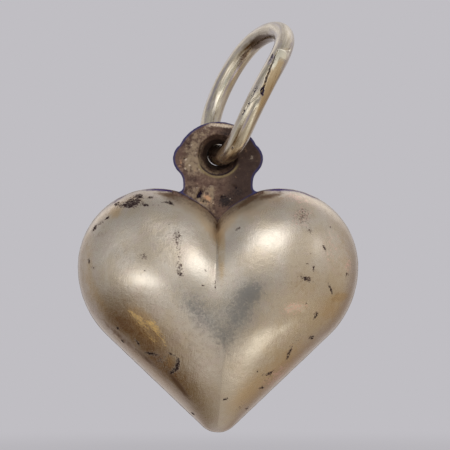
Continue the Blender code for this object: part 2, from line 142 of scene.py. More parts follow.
# Marks on the front, in hundredths of a millimetre: across, up, half-length and half-width,
# then the slant in degrees and the strength in hundredths
PITS = (
    (-525, 414, 70, 50, 10, 80), (-562, 388, 24, 12, 20, 85), (-497, 452, 22, 12, 0, 85),
    (-645, 400, 22, 12, 30, 80), (-610, 390, 50, 18, 28, 50), (-424, 442, 24, 9, 8, 90),
    (-452, 392, 22, 11, -10, 80), (-409, 395, 8, 7, 0, 80), (-374, 392, 10, 7, 0, 70),
    (-302, 406, 36, 14, -28, 100), (-345, 410, 30, 5, 0, 70), (-700, 313, 17, 11, 40, 95),
    (-736, 285, 30, 12, 45, 62), (-783, 246, 34, 13, 55, 85), (-818, 41, 22, 9, 100, 90),
    (-790, -2, 22, 14, -20, 62), (-310, 269, 8, 7, 0, 90), (-261, 207, 60, 34, 88, 62),
    (-250, 100, 90, 34, 84, 36), (-242, -10, 62, 32, 86, 58), (-231, -46, 16, 12, 0, 60),
    (-465, 73, 50, 40, 20, 64), (-456, -19, 12, 8, 60, 80), (-484, -46, 22, 12, 90, 55),
    (-470, -130, 40, 24, 90, 42), (-83, -13, 26, 22, 0, 45), (-93, -113, 18, 11, 0, 80),
    (-16, -110, 36, 6, 90, 100), (-45, 190, 50, 25, 90, 36), (530, 322, 76, 66, 60, 60),
    (580, 231, 34, 26, 90, 56), (713, 252, 12, 8, 60, 80), (125, 242, 26, 9, 35, 95),
    (670, 124, 26, 9, -62, 95), (603, -2, 22, 7, 88, 95), (558, 24, 9, 8, 0, 85),
    (588, 88, 10, 8, 0, 70), (338, 15, 18, 7, -20, 70), (550, -70, 44, 24, -15, 60),
    (817, -46, 22, 18, 90, 60), (845, 10, 22, 12, 90, 45), (713, -140, 40, 7, -66, 95),
    (618, -303, 24, 14, 60, 90), (555, -226, 12, 7, 30, 80), (592, -446, 20, 14, 20, 100),
    (450, -545, 40, 9, 68, 62), (445, -580, 30, 22, 50, 22), (320, -672, 42, 10, 22, 62),
    (280, -764, 22, 9, 15, 70), (305, -710, 90, 40, 48, 34), (248, -656, 12, 9, 0, 90),
    (47, -834, 22, 8, 20, 95), (185, -900, 20, 10, 45, 40), (-6, -192, 10, 9, 0, 70),
    (490, -470, 180, 55, 48, 38), (150, -890, 90, 40, 45, 38), (-510, -475, 42, 10, -55, 90),
    (-435, -545, 42, 9, -10, 85), (-635, -385, 22, 10, -40, 90), (630, -80, 160, 140, 80, 26),
    (-690, 90, 160, 100, 80, 22), (60, -720, 140, 90, 80, 26), (-605, -470, 20, 10, -45, 90),
    (-294, -547, 34, 12, -25, 72), (-253, -605, 40, 17, 84, 120), (-284, -658, 30, 14, 42, 95),
    (-325, -580, 30, 12, -80, 30), (-360, -590, 110, 50, -50, 50), (-555, -220, 25, 20, 0, 40),
    (-160, -930, 22, 8, -45, 80),
)
# Stains, with painted shade along the crease and beside the lug's root, and a painted dark
# reflection along the lower-left edge
STAINS_AND_SHADE = (
    (330, 450, 100, 20, 14, 80), (-330, 462, 90, 16, -4, 55), (-290, 430, 80, 26, -22, 45),
    (0, 250, 35, 16, 90, 50), (0, 110, 95, 7, 90, 40), (190, 416, 80, 14, 34, 60),
    (-736, 204, 55, 38, 20, 30), (530, 320, 80, 70, 20, 25), (740, -200, 70, 40, 60, 30),
    (-620, -440, 150, 18, -42, 60), (-250, -745, 130, 17, -52, 95), (-440, -590, 80, 15, -42, 60),
    (500, -90, 100, 90, 0, 22),
)
CLOUDS = (
    (204, -156, 90, 70, 20, 100), (135, -290, 110, 95, 60, 80), (-150, -230, 95, 70, -30, 62),
    (-75, -350, 110, 75, -35, 55), (45, -460, 70, 95, 0, 55), (-370, 190, 120, 80, 90, 30),
    (40, -90, 80, 30, 60, 25),
)
# Golden streaks on the lower-left flank, with painted glints: bright gold sparkles
GOLD_GLINTS = (
    (-392, -384, 70, 18, -57, 140), (-495, -328, 56, 20, -40, 95), (-342, -478, 40, 12, -55, 85),
    (-432, -355, 34, 12, -46, 85), (-545, -290, 40, 16, -45, 70), (-410, -460, 50, 20, -50, 70),
    (-470, -380, 90, 30, -48, 50),
)
# Warm golden-brown tint, partly tarnish and partly painted shade on the crease's right wall
WARMS = (
    (-460, -370, 160, 62, -50, 150), (-750, -210, 160, 45, -60, 70), (-650, 344, 50, 40, 30, 90),
    (774, -190, 50, 20, 10, 100), (730, -260, 120, 90, 50, 65), (420, -620, 240, 100, 46, 75),
    (22, 130, 190, 22, 90, 150), (-530, 430, 140, 50, 10, 45), (330, 430, 160, 40, 0, 50),
    (-820, 40, 160, 40, 90, 45), (-70, 270, 90, 30, -58, 100), (90, 310, 100, 30, 50, 100),
    (800, 100, 200, 60, 90, 40), (160, -820, 160, 80, 46, 70), (-370, -710, 460, 32, -46, 70),
    (-308, -602, 30, 36, 0, 100), (540, -120, 140, 100, 60, 35),
)
BLUSHES = (
    (480, -257, 74, 36, 10, 70), (530, 320, 80, 70, 40, 45), (830, 20, 50, 25, 90, 50),
    (720, 120, 60, 160, 0, 30), (360, -700, 120, 50, 40, 50), (500, 440, 80, 25, -20, 50),
)
# Rubbed spots, partly wear and partly painted highlights: paler silver where the lobes shine
RUBS_AND_HIGHLIGHTS = (
    (-455, -75, 120, 60, -10, 80), (-130, 10, 85, 120, 15, 80), (345, 175, 120, 80, 15, 90),
    (630, 130, 50, 85, 0, 60), (290, -430, 80, 55, 20, 70), (420, -380, 70, 20, 32, 80),
    (535, -275, 16, 12, 0, 90), (220, -540, 140, 60, 60, 60), (10, -780, 230, 220, 0, 36),
    (480, -250, 62, 26, 10, 75), (-660, 130, 120, 22, 48, 50), (175, 375, 120, 22, 37, 70),
    (-175, 375, 120, 22, -37, 50), (510, -248, 24, 12, 0, 90), (450, -266, 20, 12, 0, 90),
    (40, 70, 50, 80, 30, 50), (-705, -60, 140, 18, 88, 45), (-370, -710, 420, 28, -46, 45),
    (720, 190, 70, 12, -66, 50),
)
# Painted dark violet reflection along the top edges of the lobes, where they face sideways
VIOLET_REFLECTIONS = (
    (-280, 486, 90, 15, -4, 110), (360, 492, 150, 14, -3, 110), (-410, 490, 90, 10, 0, 70),
    (580, 455, 90, 9, -22, 60), (-630, 430, 90, 9, 35, 60),
)

# Marks on the lug's front in the same way, seen from the eye
LUG_PITS = (
    (-117, -252, 36, 15, 62, 100), (-95, -295, 20, 12, 0, 70), (-205, -25, 22, 12, 30, 50),
    (-195, -75, 20, 10, 60, 50), (110, -205, 30, 10, -30, 60), (30, -270, 20, 12, 0, 60),
)
# Soot, and painted shade in the countersink above the eye (the last spot)
LUG_SOOT_AND_SHADE = (
    (45, -295, 62, 52, 0, 80), (135, -235, 55, 35, -30, 50), (55, 130, 75, 20, -18, 60),
)
LUG_COPPER = (
    (-68, -270, 20, 26, 70, 100), (-238, -55, 14, 30, 0, 75), (-62, -305, 40, 25, 0, 50),
    (-5, -62, 14, 12, 0, 50),
)
LUG_GOLD = (
    (-180, -25, 65, 55, 60, 85), (-145, 75, 85, 55, 50, 70), (-150, -90, 70, 60, 0, 55),
    (-60, -215, 60, 25, 0, 55), (-95, -345, 70, 40, -30, 70), (-160, -250, 80, 50, -30, 65),
    (-35, -245, 60, 14, 90, 70), (-70, -285, 45, 45, 0, 80), (-95, -60, 50, 35, -60, 90),
    (-20, -112, 60, 22, 0, 90), (-60, 150, 70, 30, 20, 50),
)
# Painted shade: the lug's darker right side and the dark arc in the countersink above the eye
LUG_SHADE = (
    (185, -90, 120, 170, 10, 100), (130, -290, 110, 100, 0, 80), (85, 145, 75, 28, -25, 70),
    (190, 50, 70, 80, 0, 70),
)
# Wear and painted highlights: the pale band along the top edge, the lighter right ear and small
# bright spots on the left ear
LUG_WEAR_AND_HIGHLIGHTS = (
    (35, 184, 90, 13, -6, 130), (-75, 172, 50, 16, 24, 55), (215, -20, 22, 24, 0, 55),
    (-106, 25, 80, 9, 80, 60), (-202, -28, 10, 7, 30, 80), (-178, -68, 9, 7, 0, 80),
    (-208, -88, 8, 8, 0, 70), (-142, 12, 12, 6, 40, 70), (-118, -92, 8, 6, 0, 70),
    (-166, 62, 10, 6, 50, 70), (-48, -198, 10, 6, 0, 70), (-30, -310, 12, 7, 0, 60),
    (-135, -210, 9, 6, 0, 60), (35, -255, 7, 5, 0, 70), (75, -280, 7, 5, 0, 70),
    (-210, -55, 34, 30, 60, 40), (-75, -255, 50, 14, 20, 40),
)

# Ring: its wire, lean and warp, and how its points crowd together at the joint
WIRE_RADIUS = 0.625
RING_RADIUS = 4.375
RING_LEAN = math.radians(26.6)
RING_YAW = math.radians(17.1)
RING_WARP_TWICE = 0.28
RING_WARP_THRICE = 0.10
RING_STEPS = 560
WIRE_STEPS = 160
JOINT_PLACE = math.radians(68.0)
JOINT_CROWD = 0.62
SMALL_TURN = 0.001

# Lapped joint of the ring: the crack's path and the lap's edge, in degrees along the ring and
# round the wire, then the crack's waves (height, count, start) and the lap's soft edges
CRACK = ((43, 300), (46, 276), (48, 250), (49, 228), (55, 232), (68, 238), (80, 252), (86, 262))
CRACK_END = ((86, 262), (91, 252), (97, 220), (104, 218))
LAP_EDGE = ((49, 228), (68, 238), (86, 262))
CRACK_WAVES = ((0.02, 9.0, 0.0), (0.012, 23.0, 1.0))
CRACK_HALF = 0.050
CRACK_DEPTH = 0.100
CRACK_DARK = 0.66
CRACK_START = (3.6, 0.5)
CRACK_FAINTER = 0.5
CRACK_END_SHARE = 0.35
LAP_START = (3.55, 0.32)
LAP_END = (8.2, -1.6)
LAP_STEP = 0.05
LAP_SPREAD = 0.75
LAP_SWELL = 0.095
LAP_CALM = 0.6
FILED_DEPTH = 0.06
WIRE_PIT_CORE = (0.3, 1.0)
WIRE_PIT_DEPTH = 0.10

# Solder in the lap: its turns in degrees, how far its core lies below the wire, its patches
LAP_TURNS = (40.0, 108.0, 170)
LAP_SINK = 0.20
LAP_LIFT = 0.205
LAP_CORE = (0.25, 1.0)
LAP_FILL = (
    (520, 305, 75, 22, 8, 130), (620, 328, 60, 18, 6, 110),
)

# Wire inside the eye: no flutes there, and a swell towards the ring's middle and outside,
# both by turn from the eye's middle; then the stretch of the grain along the drawn wire
EYE_CALM = (0.15, 0.2)
EYE_SWELL_FADE = (0.10, 0.15)
EYE_SWELL = 0.036
DRAWN_ALONG = 0.30
DRAWN_ROUND = 1.5

# Marks on the wire in the same way, along the ring and round the wire
WIRE_PITS = (
    (650, 280, 17, 13, 10, 130), (668, 293, 14, 7, 40, 100), (648, 240, 30, 14, 0, 45),
    (685, 236, 34, 14, 0, 45), (735, 235, 36, 14, 0, 42), (808, 231, 20, 9, 15, 85),
    (430, 230, 30, 14, 10, 75), (475, 232, 22, 12, 0, 60), (1160, 250, 30, 10, 0, 60),
    (1260, 320, 26, 14, 0, 70), (1040, 275, 16, 9, 0, 70),
)
WIRE_GOLDS = (
    (530, 305, 100, 36, 6, 110), (660, 322, 100, 36, 4, 80), (790, 330, 120, 30, 0, 25),
    (1300, 270, 50, 50, 0, 80), (390, 330, 50, 20, 0, 30),
)
# Rubbed places and painted highlights: the bright tip at the lap and pale stripes along the wire
WIRE_RUBS_AND_HIGHLIGHTS = (
    (398, 292, 26, 34, 0, 160), (455, 268, 60, 13, 9, 150), (950, 248, 200, 14, 0, 100),
    (930, 315, 160, 14, 6, 80), (735, 292, 10, 10, 0, 100), (340, 330, 50, 10, 0, 80),
    (2100, 108, 320, 16, 0, 80), (2330, 98, 80, 25, 0, 60),
)
# Stains, and a painted dark reflection on the inside of the far strand near the top of the ring
WIRE_STAINS_AND_SHADE = (
    (2560, 105, 130, 42, 0, 200), (2720, 130, 60, 20, 0, 100), (1320, 120, 90, 120, 0, 80),
    (1440, 340, 90, 100, 0, 80), (740, 200, 160, 25, 0, 35),
)
# Painted lilac reflections: thin lilac-grey stripes along the wire and dark violet beside the
# crack
WIRE_LILAC_REFLECTIONS = (
    (2200, 92, 280, 12, 0, 100), (840, 278, 90, 10, 0, 80), (460, 236, 70, 20, 0, 70),
    (1970, 160, 400, 16, 0, 60), (310, 330, 80, 30, 0, 50),
)

# Lug: fineness of its skin, the waist of its eye, and its soft edges and bands, each a place
# and a width, then the depths of the groove and of the pits
LUG_VOXEL = 0.045
MERGE_DISTANCE = 0.0005
LUG_ROUNDS = 4
SOLDER_ROUNDS = 10
EDGE_ROUNDS = 36
EYE_RADIUS = 0.98
EYE_WAIST = 0.678
EYE_WALL = 0.58
LEAST_RADIUS = 0.1
BORE = (1.20, -0.10)
BORE_ENDS = (1.0, -0.1)
BORE_CALM = 0.9
BORE_DARK = (1.02, -0.08)
WAIST_EDGE = (1.10, -0.08)
FRONT_FACE = (0.55, 0.25)
FRONT_BORDER = (0.72, 0.14)
OUTER_BORDER = (1.55, 0.15)
LOWER_HALF = (0.0, 0.5)
LOWER_SLANT = 0.35
LOWER_LEFT = (-0.25, 0.8)
LEFT_SLANT = 0.9
# Lines round the lower half of the eye: a painted highlight on the lip, the dark line in the
# groove, a painted highlight below it
LIP_LIGHT = (0.95, 0.045)
LIP_LINE = (1.27, 0.050)
LIP_GLOW = (1.41, 0.070)
GLOW_SHARE = 0.8
GROOVE_DEPTH = 0.04
LUG_PIT_DEPTH = 0.12

# Which marks make which field of a piece
SHELL_MARKS = {"warmed": WARMS, "clouded": CLOUDS, "rubbed_and_highlit": RUBS_AND_HIGHLIGHTS}
FRONT_MARKS = {"gold_and_glints": GOLD_GLINTS, "blushed": BLUSHES}
LUG_MARKS = {
    "pitted": LUG_PITS, "soot_and_shade": LUG_SOOT_AND_SHADE, "coppery": LUG_COPPER, "gold_and_glints": LUG_GOLD,
    "shaded": LUG_SHADE, "worn_and_highlit": LUG_WEAR_AND_HIGHLIGHTS,
}
WIRE_MARKS = {
    "pitted": WIRE_PITS, "gold_and_glints": WIRE_GOLDS, "rubbed_and_highlit": WIRE_RUBS_AND_HIGHLIGHTS, "stain_and_shade": WIRE_STAINS_AND_SHADE,
    "lilac_reflection": WIRE_LILAC_REFLECTIONS,
}

# Each shell: its piece, side, form, solid, slot, strength of marks, pale and warm silver
SHELLS = (
    ("front_shell_skin", 1, FRONT_FORM, "heart_front_shell", "front_silver", 1.0,
     (0.695, 0.622, 0.535), (0.655, 0.560, 0.440)),
    ("back_shell_skin", -1, BACK_FORM, "heart_back_shell", "back_silver", BACK_SHARE,
     (0.655, 0.585, 0.495), (0.615, 0.522, 0.405)),
)

# Noises of the finishes: scale, detail, roughness and distortion; the stretched ones' scales
SILVER_NOISES = {
    "broad": (0.55, 5.0, 0.6), "grain": (3.4, 6.0, 0.68), "fine": (11.0, 4.0, 0.6),
    "mottle": (5.5, 5.0, 0.75), "rosy": (1.2, 5.0, 0.65, 0.4), "speckle": (9.0, 4.0, 0.72),
}
SOLDER_NOISES = {"grain": (2.6, 6.0, 0.65), "fine": (9.0, 4.0, 0.6)}
WIRE_NOISES = {"grain": (3.0, 6.0, 0.65), "speckle": (8.5, 4.0, 0.72)}
DRAWN_NOISES = {"streak": (3.0, 4.0, 0.6), "bands": (1.7, 3.0)}
LUG_NOISES = {"broad": (0.9, 4.0, 0.6), "grain": (3.1, 7.0, 0.72), "fine": (10.0, 4.0, 0.65)}
GOLD_STRETCH = (2.2, 2.2, 16.0)
GOLD_TURN = (0.0, 0.72, 0.0)
SCRATCH_STRETCH = (13.0, 1.2, 1.5)
SCRATCH_TURN = (0.0, 0.12, 0.0)

# Layers of colour, from the lowest up: the noise and the field that place a layer, from which
# value to which it rises, its share, how ragged the noise makes its edge, and its colour
SILVER_LAYERS = (
    ("grain", "", 0.44, 0.72, 0.40, 0.0, (0.50, 0.415, 0.325)),
    ("rosy", "", 0.50, 0.60, 0.42, 0.0, (0.655, 0.545, 0.480)),
    ("grain", "warmed", 0.10, 0.95, 0.80, 0.9, (0.64, 0.47, 0.28)),
    # Paler silver of the rubbed spots, partly wear and partly painted highlights
    ("grain", "rubbed_and_highlit", 0.10, 0.80, 0.70, 0.9, (0.82, 0.75, 0.645)),
    ("smoke", "clouded", 0.15, 1.05, 0.90, 3.0, (0.325, 0.305, 0.285)),
    ("mottle", "blushed", 0.25, 0.90, 0.75, 4.0, (0.92, 0.63, 0.54)),
    # Bright gold of the streaks, painted glints on the shells
    ("streak", "gold_and_glints", 0.64, 0.98, 1.00, 5.2, (1.00, 0.74, 0.34)),
    ("grain", "rim", 0.10, 0.90, 0.42, 0.0, (0.58, 0.48, 0.36)),
    ("grain", "flowed", 0.15, 1.00, 0.72, 0.5, (0.84, 0.70, 0.52)),
    # Dark brown of the stains, the painted shade and the painted dark reflection
    ("grain", "stain_and_shade", 0.12, 0.80, 0.92, 0.9, (0.24, 0.145, 0.085)),
    # Painted dark violet reflection on the top edges
    ("grain", "violet_reflection", 0.10, 0.80, 1.00, 0.8, (0.100, 0.076, 0.175)),
)
WIRE_DULL = (0.53, 0.465, 0.365)
WIRE_LAYERS = (
    ("streak", "", 0.36, 0.62, 1.00, 0.0, (0.73, 0.655, 0.525)),
    ("bands", "", 0.48, 0.66, 0.50, 0.0, (0.55, 0.50, 0.51)),
    ("grain", "", 0.50, 0.72, 0.45, 0.0, (0.54, 0.44, 0.31)),
    ("grain", "gold_and_glints", 0.25, 0.65, 0.90, 0.9, (0.62, 0.48, 0.30)),
    # Lilac-grey of the painted reflections on the wire
    ("grain", "lilac_reflection", 0.25, 0.75, 0.75, 0.9, (0.42, 0.37, 0.46)),
    # Pale silver of the rubbed places and painted highlights on the wire
    ("grain", "rubbed_and_highlit", 0.20, 0.70, 0.95, 0.9, (0.96, 0.90, 0.74)),
    # Dark brown of the stains and of the painted dark reflection
    ("grain", "stain_and_shade", 0.15, 0.80, 0.88, 0.9, (0.17, 0.12, 0.09)),
)
LUG_DARK = (0.094, 0.056, 0.047)
LUG_LAYERS = (
    ("grain", "", 0.36, 0.64, 1.00, 0.0, (0.262, 0.174, 0.130)),
    ("broad", "", 0.40, 0.64, 0.60, 0.0, (0.22, 0.134, 0.104)),
    ("grain", "gold_and_glints", 0.25, 1.15, 0.85, 3.4, (0.46, 0.355, 0.245)),
    # Painted shade on the right side and above the eye
    ("grain", "shaded", 0.10, 0.85, 0.85, 1.2, (0.058, 0.036, 0.032)),
    # Near-black soot and painted shade
    ("fine", "soot_and_shade", 0.30, 0.75, 0.90, 1.6, (0.030, 0.024, 0.026)),
    ("grain", "coppery", 0.25, 1.00, 0.95, 3.0, (0.78, 0.46, 0.27)),
    # Pale cream of the wear and painted highlights
    ("fine", "worn_and_highlit", 0.30, 1.10, 0.90, 1.8, (0.92, 0.77, 0.62)),
    # Painted highlights round the eye's lower lip and below its groove
    ("", "lip_light", 0, 0, 0, 0, (0.50, 0.46, 0.26)),
    ("", "lip_line", 0, 0, 0, 0, (0.030, 0.018, 0.040)),
    ("", "lip_glow", 0, 0, 0, 0, (0.36, 0.28, 0.14)),
    # Painted dark blue reflection on the sideways-facing edges of the lug's front
    ("fine", "edge", 0.05, 0.32, 0.90, 0.0, (0.062, 0.062, 0.190)),
    # Painted shade inside the eye
    ("", "bore_shade", 0, 0, 0, 0, (0.016, 0.012, 0.012)),
)

# Values between which a broken-up mark fades out at its own border
BORDERS = {"clouded": (0.02, 0.25), "blushed": (0.02, 0.25), "gold_and_glints": (0.05, 0.30)}

# Bump of each finish: strength, and distance in metres
SILVER_BUMP = (0.45, 0.000025)
SOLDER_BUMP = (0.50, 0.00003)
WIRE_BUMP = (0.35, 0.00003)
LUG_BUMP = (0.80, 0.00008)

# Soft light round the pendant: the room's level, more to the right, less from above, and
# each soft lamp's or dark place's azimuth, elevation, width, strength and tint
ROOM_LEVEL = 0.715
ROOM_ABOVE = -0.30
ROOM_RIGHT = 0.15
DARKEST = (0.01, 0.01, 0.01)
WHITE = (1.0, 1.0, 1.0)
SOFT_LAMPS = (
    (12.0, 34.5, 0.200, 1.20, WHITE),
    (59.6, 21.0, 0.080, 0.55, WHITE),
    (-38.4, -0.2, 0.230, 0.95, WHITE),
    (44.8, -43.1, 0.140, 0.75, (1.0, 1.0, 0.95)),
    (-71.7, -45.3, 0.440, -0.54, (1.0, 1.1, 1.2)),
    (75.3, -33.5, 0.660, -0.47, (0.85, 1.0, 1.2)),
    (-36.7, -45.7, 0.200, 0.40, WHITE),
    (6.4, -12.6, 0.220, -0.30, (1.1, 1.0, 0.9)),
    (180.0, -30.0, 0.500, 0.14, (1.0, 0.96, 1.0)),
    (150.0, 40.0, 0.260, 0.60, (1.0, 1.0, 0.95)),
    (-140.0, 30.0, 0.200, 0.50, WHITE),
)
FLOOR_CENTRE = (EYE[0] * MM, EYE[1] * MM, -0.0266)
FLOOR_RADIUS = 0.35
FLOOR_CORNERS = 96
FLOOR_NEAR = 0.012
FLOOR_FAR = 0.045
FLOOR_GLOW = 0.75

# Photograph: camera place and field, and the colour behind the pendant
CAMERA_DISTANCE = 300.0
FIELD = 28.66
SENSOR = 36.0
CLIP_START = 0.01
CLIP_END = 10.0
VIEW_CENTRE = (-3.090, -11.726)
BACKGROUND = (0.527, 0.515, 0.546)


class Tree:
    """Short calls that add nodes and return an output; inputs take plain values or outputs."""

    def __init__(self, tree):
        self.tree = tree

    def add(self, kind, inputs=None, output=0, **settings):
        node = self.tree.nodes.new(kind)
        for key, value in settings.items():
            setattr(node, key, value)
        for key, value in (inputs or {}).items():
            self.feed(node.inputs[key], value)
        return node.outputs if output is None else node.outputs[output]

    def feed(self, socket, value):
        if isinstance(value, bpy.types.NodeSocket):
            self.tree.links.new(value, socket)
        elif socket.type == "RGBA":
            socket.default_value = (*value, 1.0)
        else:
            socket.default_value = value

    def math(self, operation, first, second=0.0, third=0.0, clamp=False):
        inputs = {0: first, 1: second, 2: third}
        return self.add("ShaderNodeMath", inputs, operation=operation, use_clamp=clamp)

    def total(self, start, *terms):
        """A start with each term added, given as a value and its share."""
        for value, share in terms:
            start = self.math("MULTIPLY_ADD", value, share, start)
        return start

    def vector(self, operation, first, second, third=(0.0, 0.0, 0.0), output=0):
        inputs = {0: first, 1: second, 2: third}
        return self.add("ShaderNodeVectorMath", inputs, output, operation=operation)

    def step(self, value, low, high, start=0.0, end=1.0):
        """Rises smoothly from start to end while the value goes from low to high."""
        inputs = {0: value, 1: low, 2: high, 3: start, 4: end}
        return self.add("ShaderNodeMapRange", inputs, interpolation_type="SMOOTHSTEP")

    def mix(self, share, first, second):
        return self.add("ShaderNodeMix", {0: share, 6: first, 7: second}, 2, data_type="RGBA")

    def noise(self, place, scale, detail=4.0, rough=0.55, distortion=0.0):
        inputs = {"Vector": place, "Scale": scale, "Detail": detail, "Roughness": rough}
        return self.add("ShaderNodeTexNoise", inputs | {"Distortion": distortion})

    def noises(self, place, table):
        return {name: self.noise(place, *sizes) for name, sizes in table.items()}

    def field(self, name, output="Fac"):
        """A number stored on the mesh's points, for a material."""
        return self.add("ShaderNodeAttribute", None, output, attribute_name=name)

    def stored(self, name, kind="FLOAT"):
        """A number stored on the mesh's points, for a Geometry Nodes tree."""
        return self.add("GeometryNodeInputNamedAttribute", {"Name": name}, data_type=kind)

    def stretched(self, place, scale, turn=(0.0, 0.0, 0.0)):
        """A place turned first and then stretched, each way by its own scale."""
        shrunk = tuple(1.0 / share for share in scale)
        inputs = {"Vector": place, "Rotation": turn, "Scale": shrunk}
        return self.add("ShaderNodeMapping", inputs, vector_type="TEXTURE")

    def spread(self, source, name, low, high, share, ragged):
        """A field broken up by noise, so that its edge is ragged."""
        field = self.math("SUBTRACT", self.field(name), 0.5 * ragged)
        return self.step(self.math("MULTIPLY_ADD", source, ragged, field), low, high, 0.0, share)

    def layered(self, tint, noises, layers, borders=None):
        """Lays colours over a tint; also returns how strong each field's layer is."""
        strengths = {}
        for source, name, low, high, share, ragged, shade in layers:
            if not source:
                amount = self.field(name)
            elif not name:
                amount = self.step(noises[source], low, high, 0.0, share)
            else:
                amount = self.spread(noises[source], name, low, high, share, ragged)
            if name in (borders or {}):
                amount = self.math("MULTIPLY", amount, borders[name])
            strengths[name] = amount
            tint = self.mix(amount, tint, shade)
        return tint, strengths

    def pits(self, share, noise, low, high):
        """Where the pitted field and a noise together are high."""
        return self.step(self.math("MULTIPLY_ADD", self.field("pitted"), share, noise), low, high)

    def lift(self, geometry, noise, depth, free=1.0, sunk=0.0):
        """Moves a skin along its normal by a noise about its middle, where it is free."""
        lift = self.math("MULTIPLY", self.math("SUBTRACT", noise, 0.5), depth)
        lift = self.math("SUBTRACT", self.math("MULTIPLY", lift, free), sunk)
        inputs = {0: self.add("GeometryNodeInputNormal"), "Scale": lift}
        offset = self.add("ShaderNodeVectorMath", inputs, operation="SCALE")
        return self.add("GeometryNodeSetPosition", {"Geometry": geometry, "Offset": offset})

    def tube(self, line, steps, radius, **more):
        """A round skin about a line of edges."""
        line = self.add("GeometryNodeMeshToCurve", {"Mesh": line})
        section = {"Resolution": steps, "Radius": radius}
        section = self.add("GeometryNodeCurvePrimitiveCircle", section)
        inputs = {"Curve": line, "Profile Curve": section, **more}
        return self.add("GeometryNodeCurveToMesh", inputs)


def new_material(name):
    """An empty metal finish: its tree, its shader and the place on the piece in millimetres."""
    material = bpy.data.materials.new(name)
    material.use_nodes = True
    tree = Tree(material.node_tree)
    shader = material.node_tree.nodes["Principled BSDF"]
    coordinates = tree.add("ShaderNodeTexCoord", output="Object")
    return material, tree, shader, tree.stretched(coordinates, (1.0 / MM,) * 3)


def end_material(tree, shader, values, height, bump):
    """Feeds the shader's named inputs and its bump."""
    inputs = {"Strength": bump[0], "Distance": bump[1], "Height": height}
    values["Normal"] = tree.add("ShaderNodeBump", inputs)
    for name, value in values.items():
        tree.feed(shader.inputs[name], value)


def new_group(name, sizes):
    """A Geometry Nodes tree with a named input for each size: the tree and its inputs."""
    group = bpy.data.node_groups.new(name, "GeometryNodeTree")
    for way in ("INPUT", "OUTPUT"):
        group.interface.new_socket("Geometry", in_out=way, socket_type="NodeSocketGeometry")
    for label in sizes:
        group.interface.new_socket(label, in_out="INPUT", socket_type="NodeSocketFloat")
    tree = Tree(group)
    entry = tree.add("NodeGroupInput", output=None)
    return tree, entry["Geometry"], {label: entry[label] for label in sizes}


def end_group(obj, tree, geometry, material, sizes):
    """Ends a Geometry Nodes tree and puts it on an object with its sizes."""
    whole = tree.add("GeometryNodeRealizeInstances", {"Geometry": geometry})
    painted = tree.add("GeometryNodeSetMaterial", {"Geometry": whole, "Material": material})
    tree.add("NodeGroupOutput", {"Geometry": painted}, None)
    modifier = obj.modifiers.new(tree.tree.name, "NODES")
    modifier.node_group = tree.tree
    for item in tree.tree.interface.items_tree:
        if item.in_out == "INPUT" and item.name in sizes:
            modifier[item.identifier] = sizes[item.name]


def rise(value, edge):
    """Rises smoothly from 0 at an edge's place to 1 after its width; a width below 0 falls."""
    share = np.clip((value - edge[0]) / edge[1], 0.0, 1.0)
    return share * share * (3.0 - 2.0 * share)


def band(distance, reach, place=0.0):
    return np.exp(-((distance - place) / reach) ** 2)


def root_of(value):
    return np.sqrt(np.maximum(value, 0.0))


FLANK_CENTRE = LOBE_OFFSET + LOBE_RADIUS - FLANK_RADIUS
SIDE_DISTANCE = FLANK_CENTRE * math.cos(SIDE_SLANT) + FLANK_RADIUS
TIP_CENTRE = -(SIDE_DISTANCE - TIP_RADIUS) / math.sin(SIDE_SLANT)


def half_width(height, inset):
    """Half-width of the heart's outline at each height, drawn in by an inset."""
    lobe = LOBE_OFFSET + root_of((LOBE_RADIUS - inset) ** 2 - height ** 2)
    flank = FLANK_CENTRE + root_of((FLANK_RADIUS - inset) ** 2 - height ** 2)
    side = (SIDE_DISTANCE - inset + height * math.sin(SIDE_SLANT)) / math.cos(SIDE_SLANT)
    tip = root_of((TIP_RADIUS - inset) ** 2 - (height - TIP_CENTRE) ** 2)
    side_top = -(FLANK_RADIUS - inset) * math.sin(SIDE_SLANT)
    side_end = TIP_CENTRE - (TIP_RADIUS - inset) * math.sin(SIDE_SLANT)
    picks = [height >= 0.0, height >= side_top, height >= side_end]
    return np.select(picks, [lobe, flank, side], tip)


def crest_height(form, height, inset, peak):
    """Height of the crests above the rim, with their highest place at the peak."""
    above = LOBE_RADIUS - inset
    below = TIP_RADIUS - TIP_CENTRE - inset
    upper = root_of(1.0 - ((height - peak) / (above - peak)) ** 2)
    lower = np.maximum(1.0 - ((height - peak) / (below + peak)) ** 2, 0.0) ** form.power
    return (form.height - inset) * np.where(height >= peak, upper, lower)


def crest_line(form, height, inset):
    """Distance of a lobe's crest from the centre line before it leans in."""
    ridge = form.ridge * half_width(height, inset) * rise(height, RIDGE)
    return LOBE_OFFSET * (1.0 - rise(height, form.drift)) - ridge


def cleft_height(inset):
    return math.sqrt((LOBE_RADIUS - inset) ** 2 - LOBE_OFFSET ** 2)


def inner_reach(form, height, crest, plain_crest, inset):
    """Reach of a lobe's section on its inner side, past the middle where the halves join."""
    depth = cleft_height(inset) - height
    filled = np.minimum(np.sin(0.5 * np.pi * np.clip(depth / form.valley, 0.0, 1.0)), VALLEY_FILL)
    joined = plain_crest / np.sqrt(1.0 - filled)
    joined = np.maximum(joined, half_width(height, inset) - plain_crest)
    leant = crest / np.maximum(plain_crest, LEAST_CREST)
    joined = joined * np.where(plain_crest > LEAST_CREST, leant, 1.0)
    lobe_edge = LOBE_OFFSET - root_of((LOBE_RADIUS - inset) ** 2 - height ** 2)
    return np.where(depth <= 0.0, crest - lobe_edge, joined)


def bump_height(across, up):
    """Sum of the soft bumps at each point."""
    total = np.zeros_like(across)
    for row, start, heights in BUMPS:
        for i, height in enumerate(heights):
            away = (across - start - i * BUMP_PITCH) ** 2 + (up - row) ** 2
            total += height * np.exp(-away / (2.0 * BUMP_SIZE ** 2))
    return total


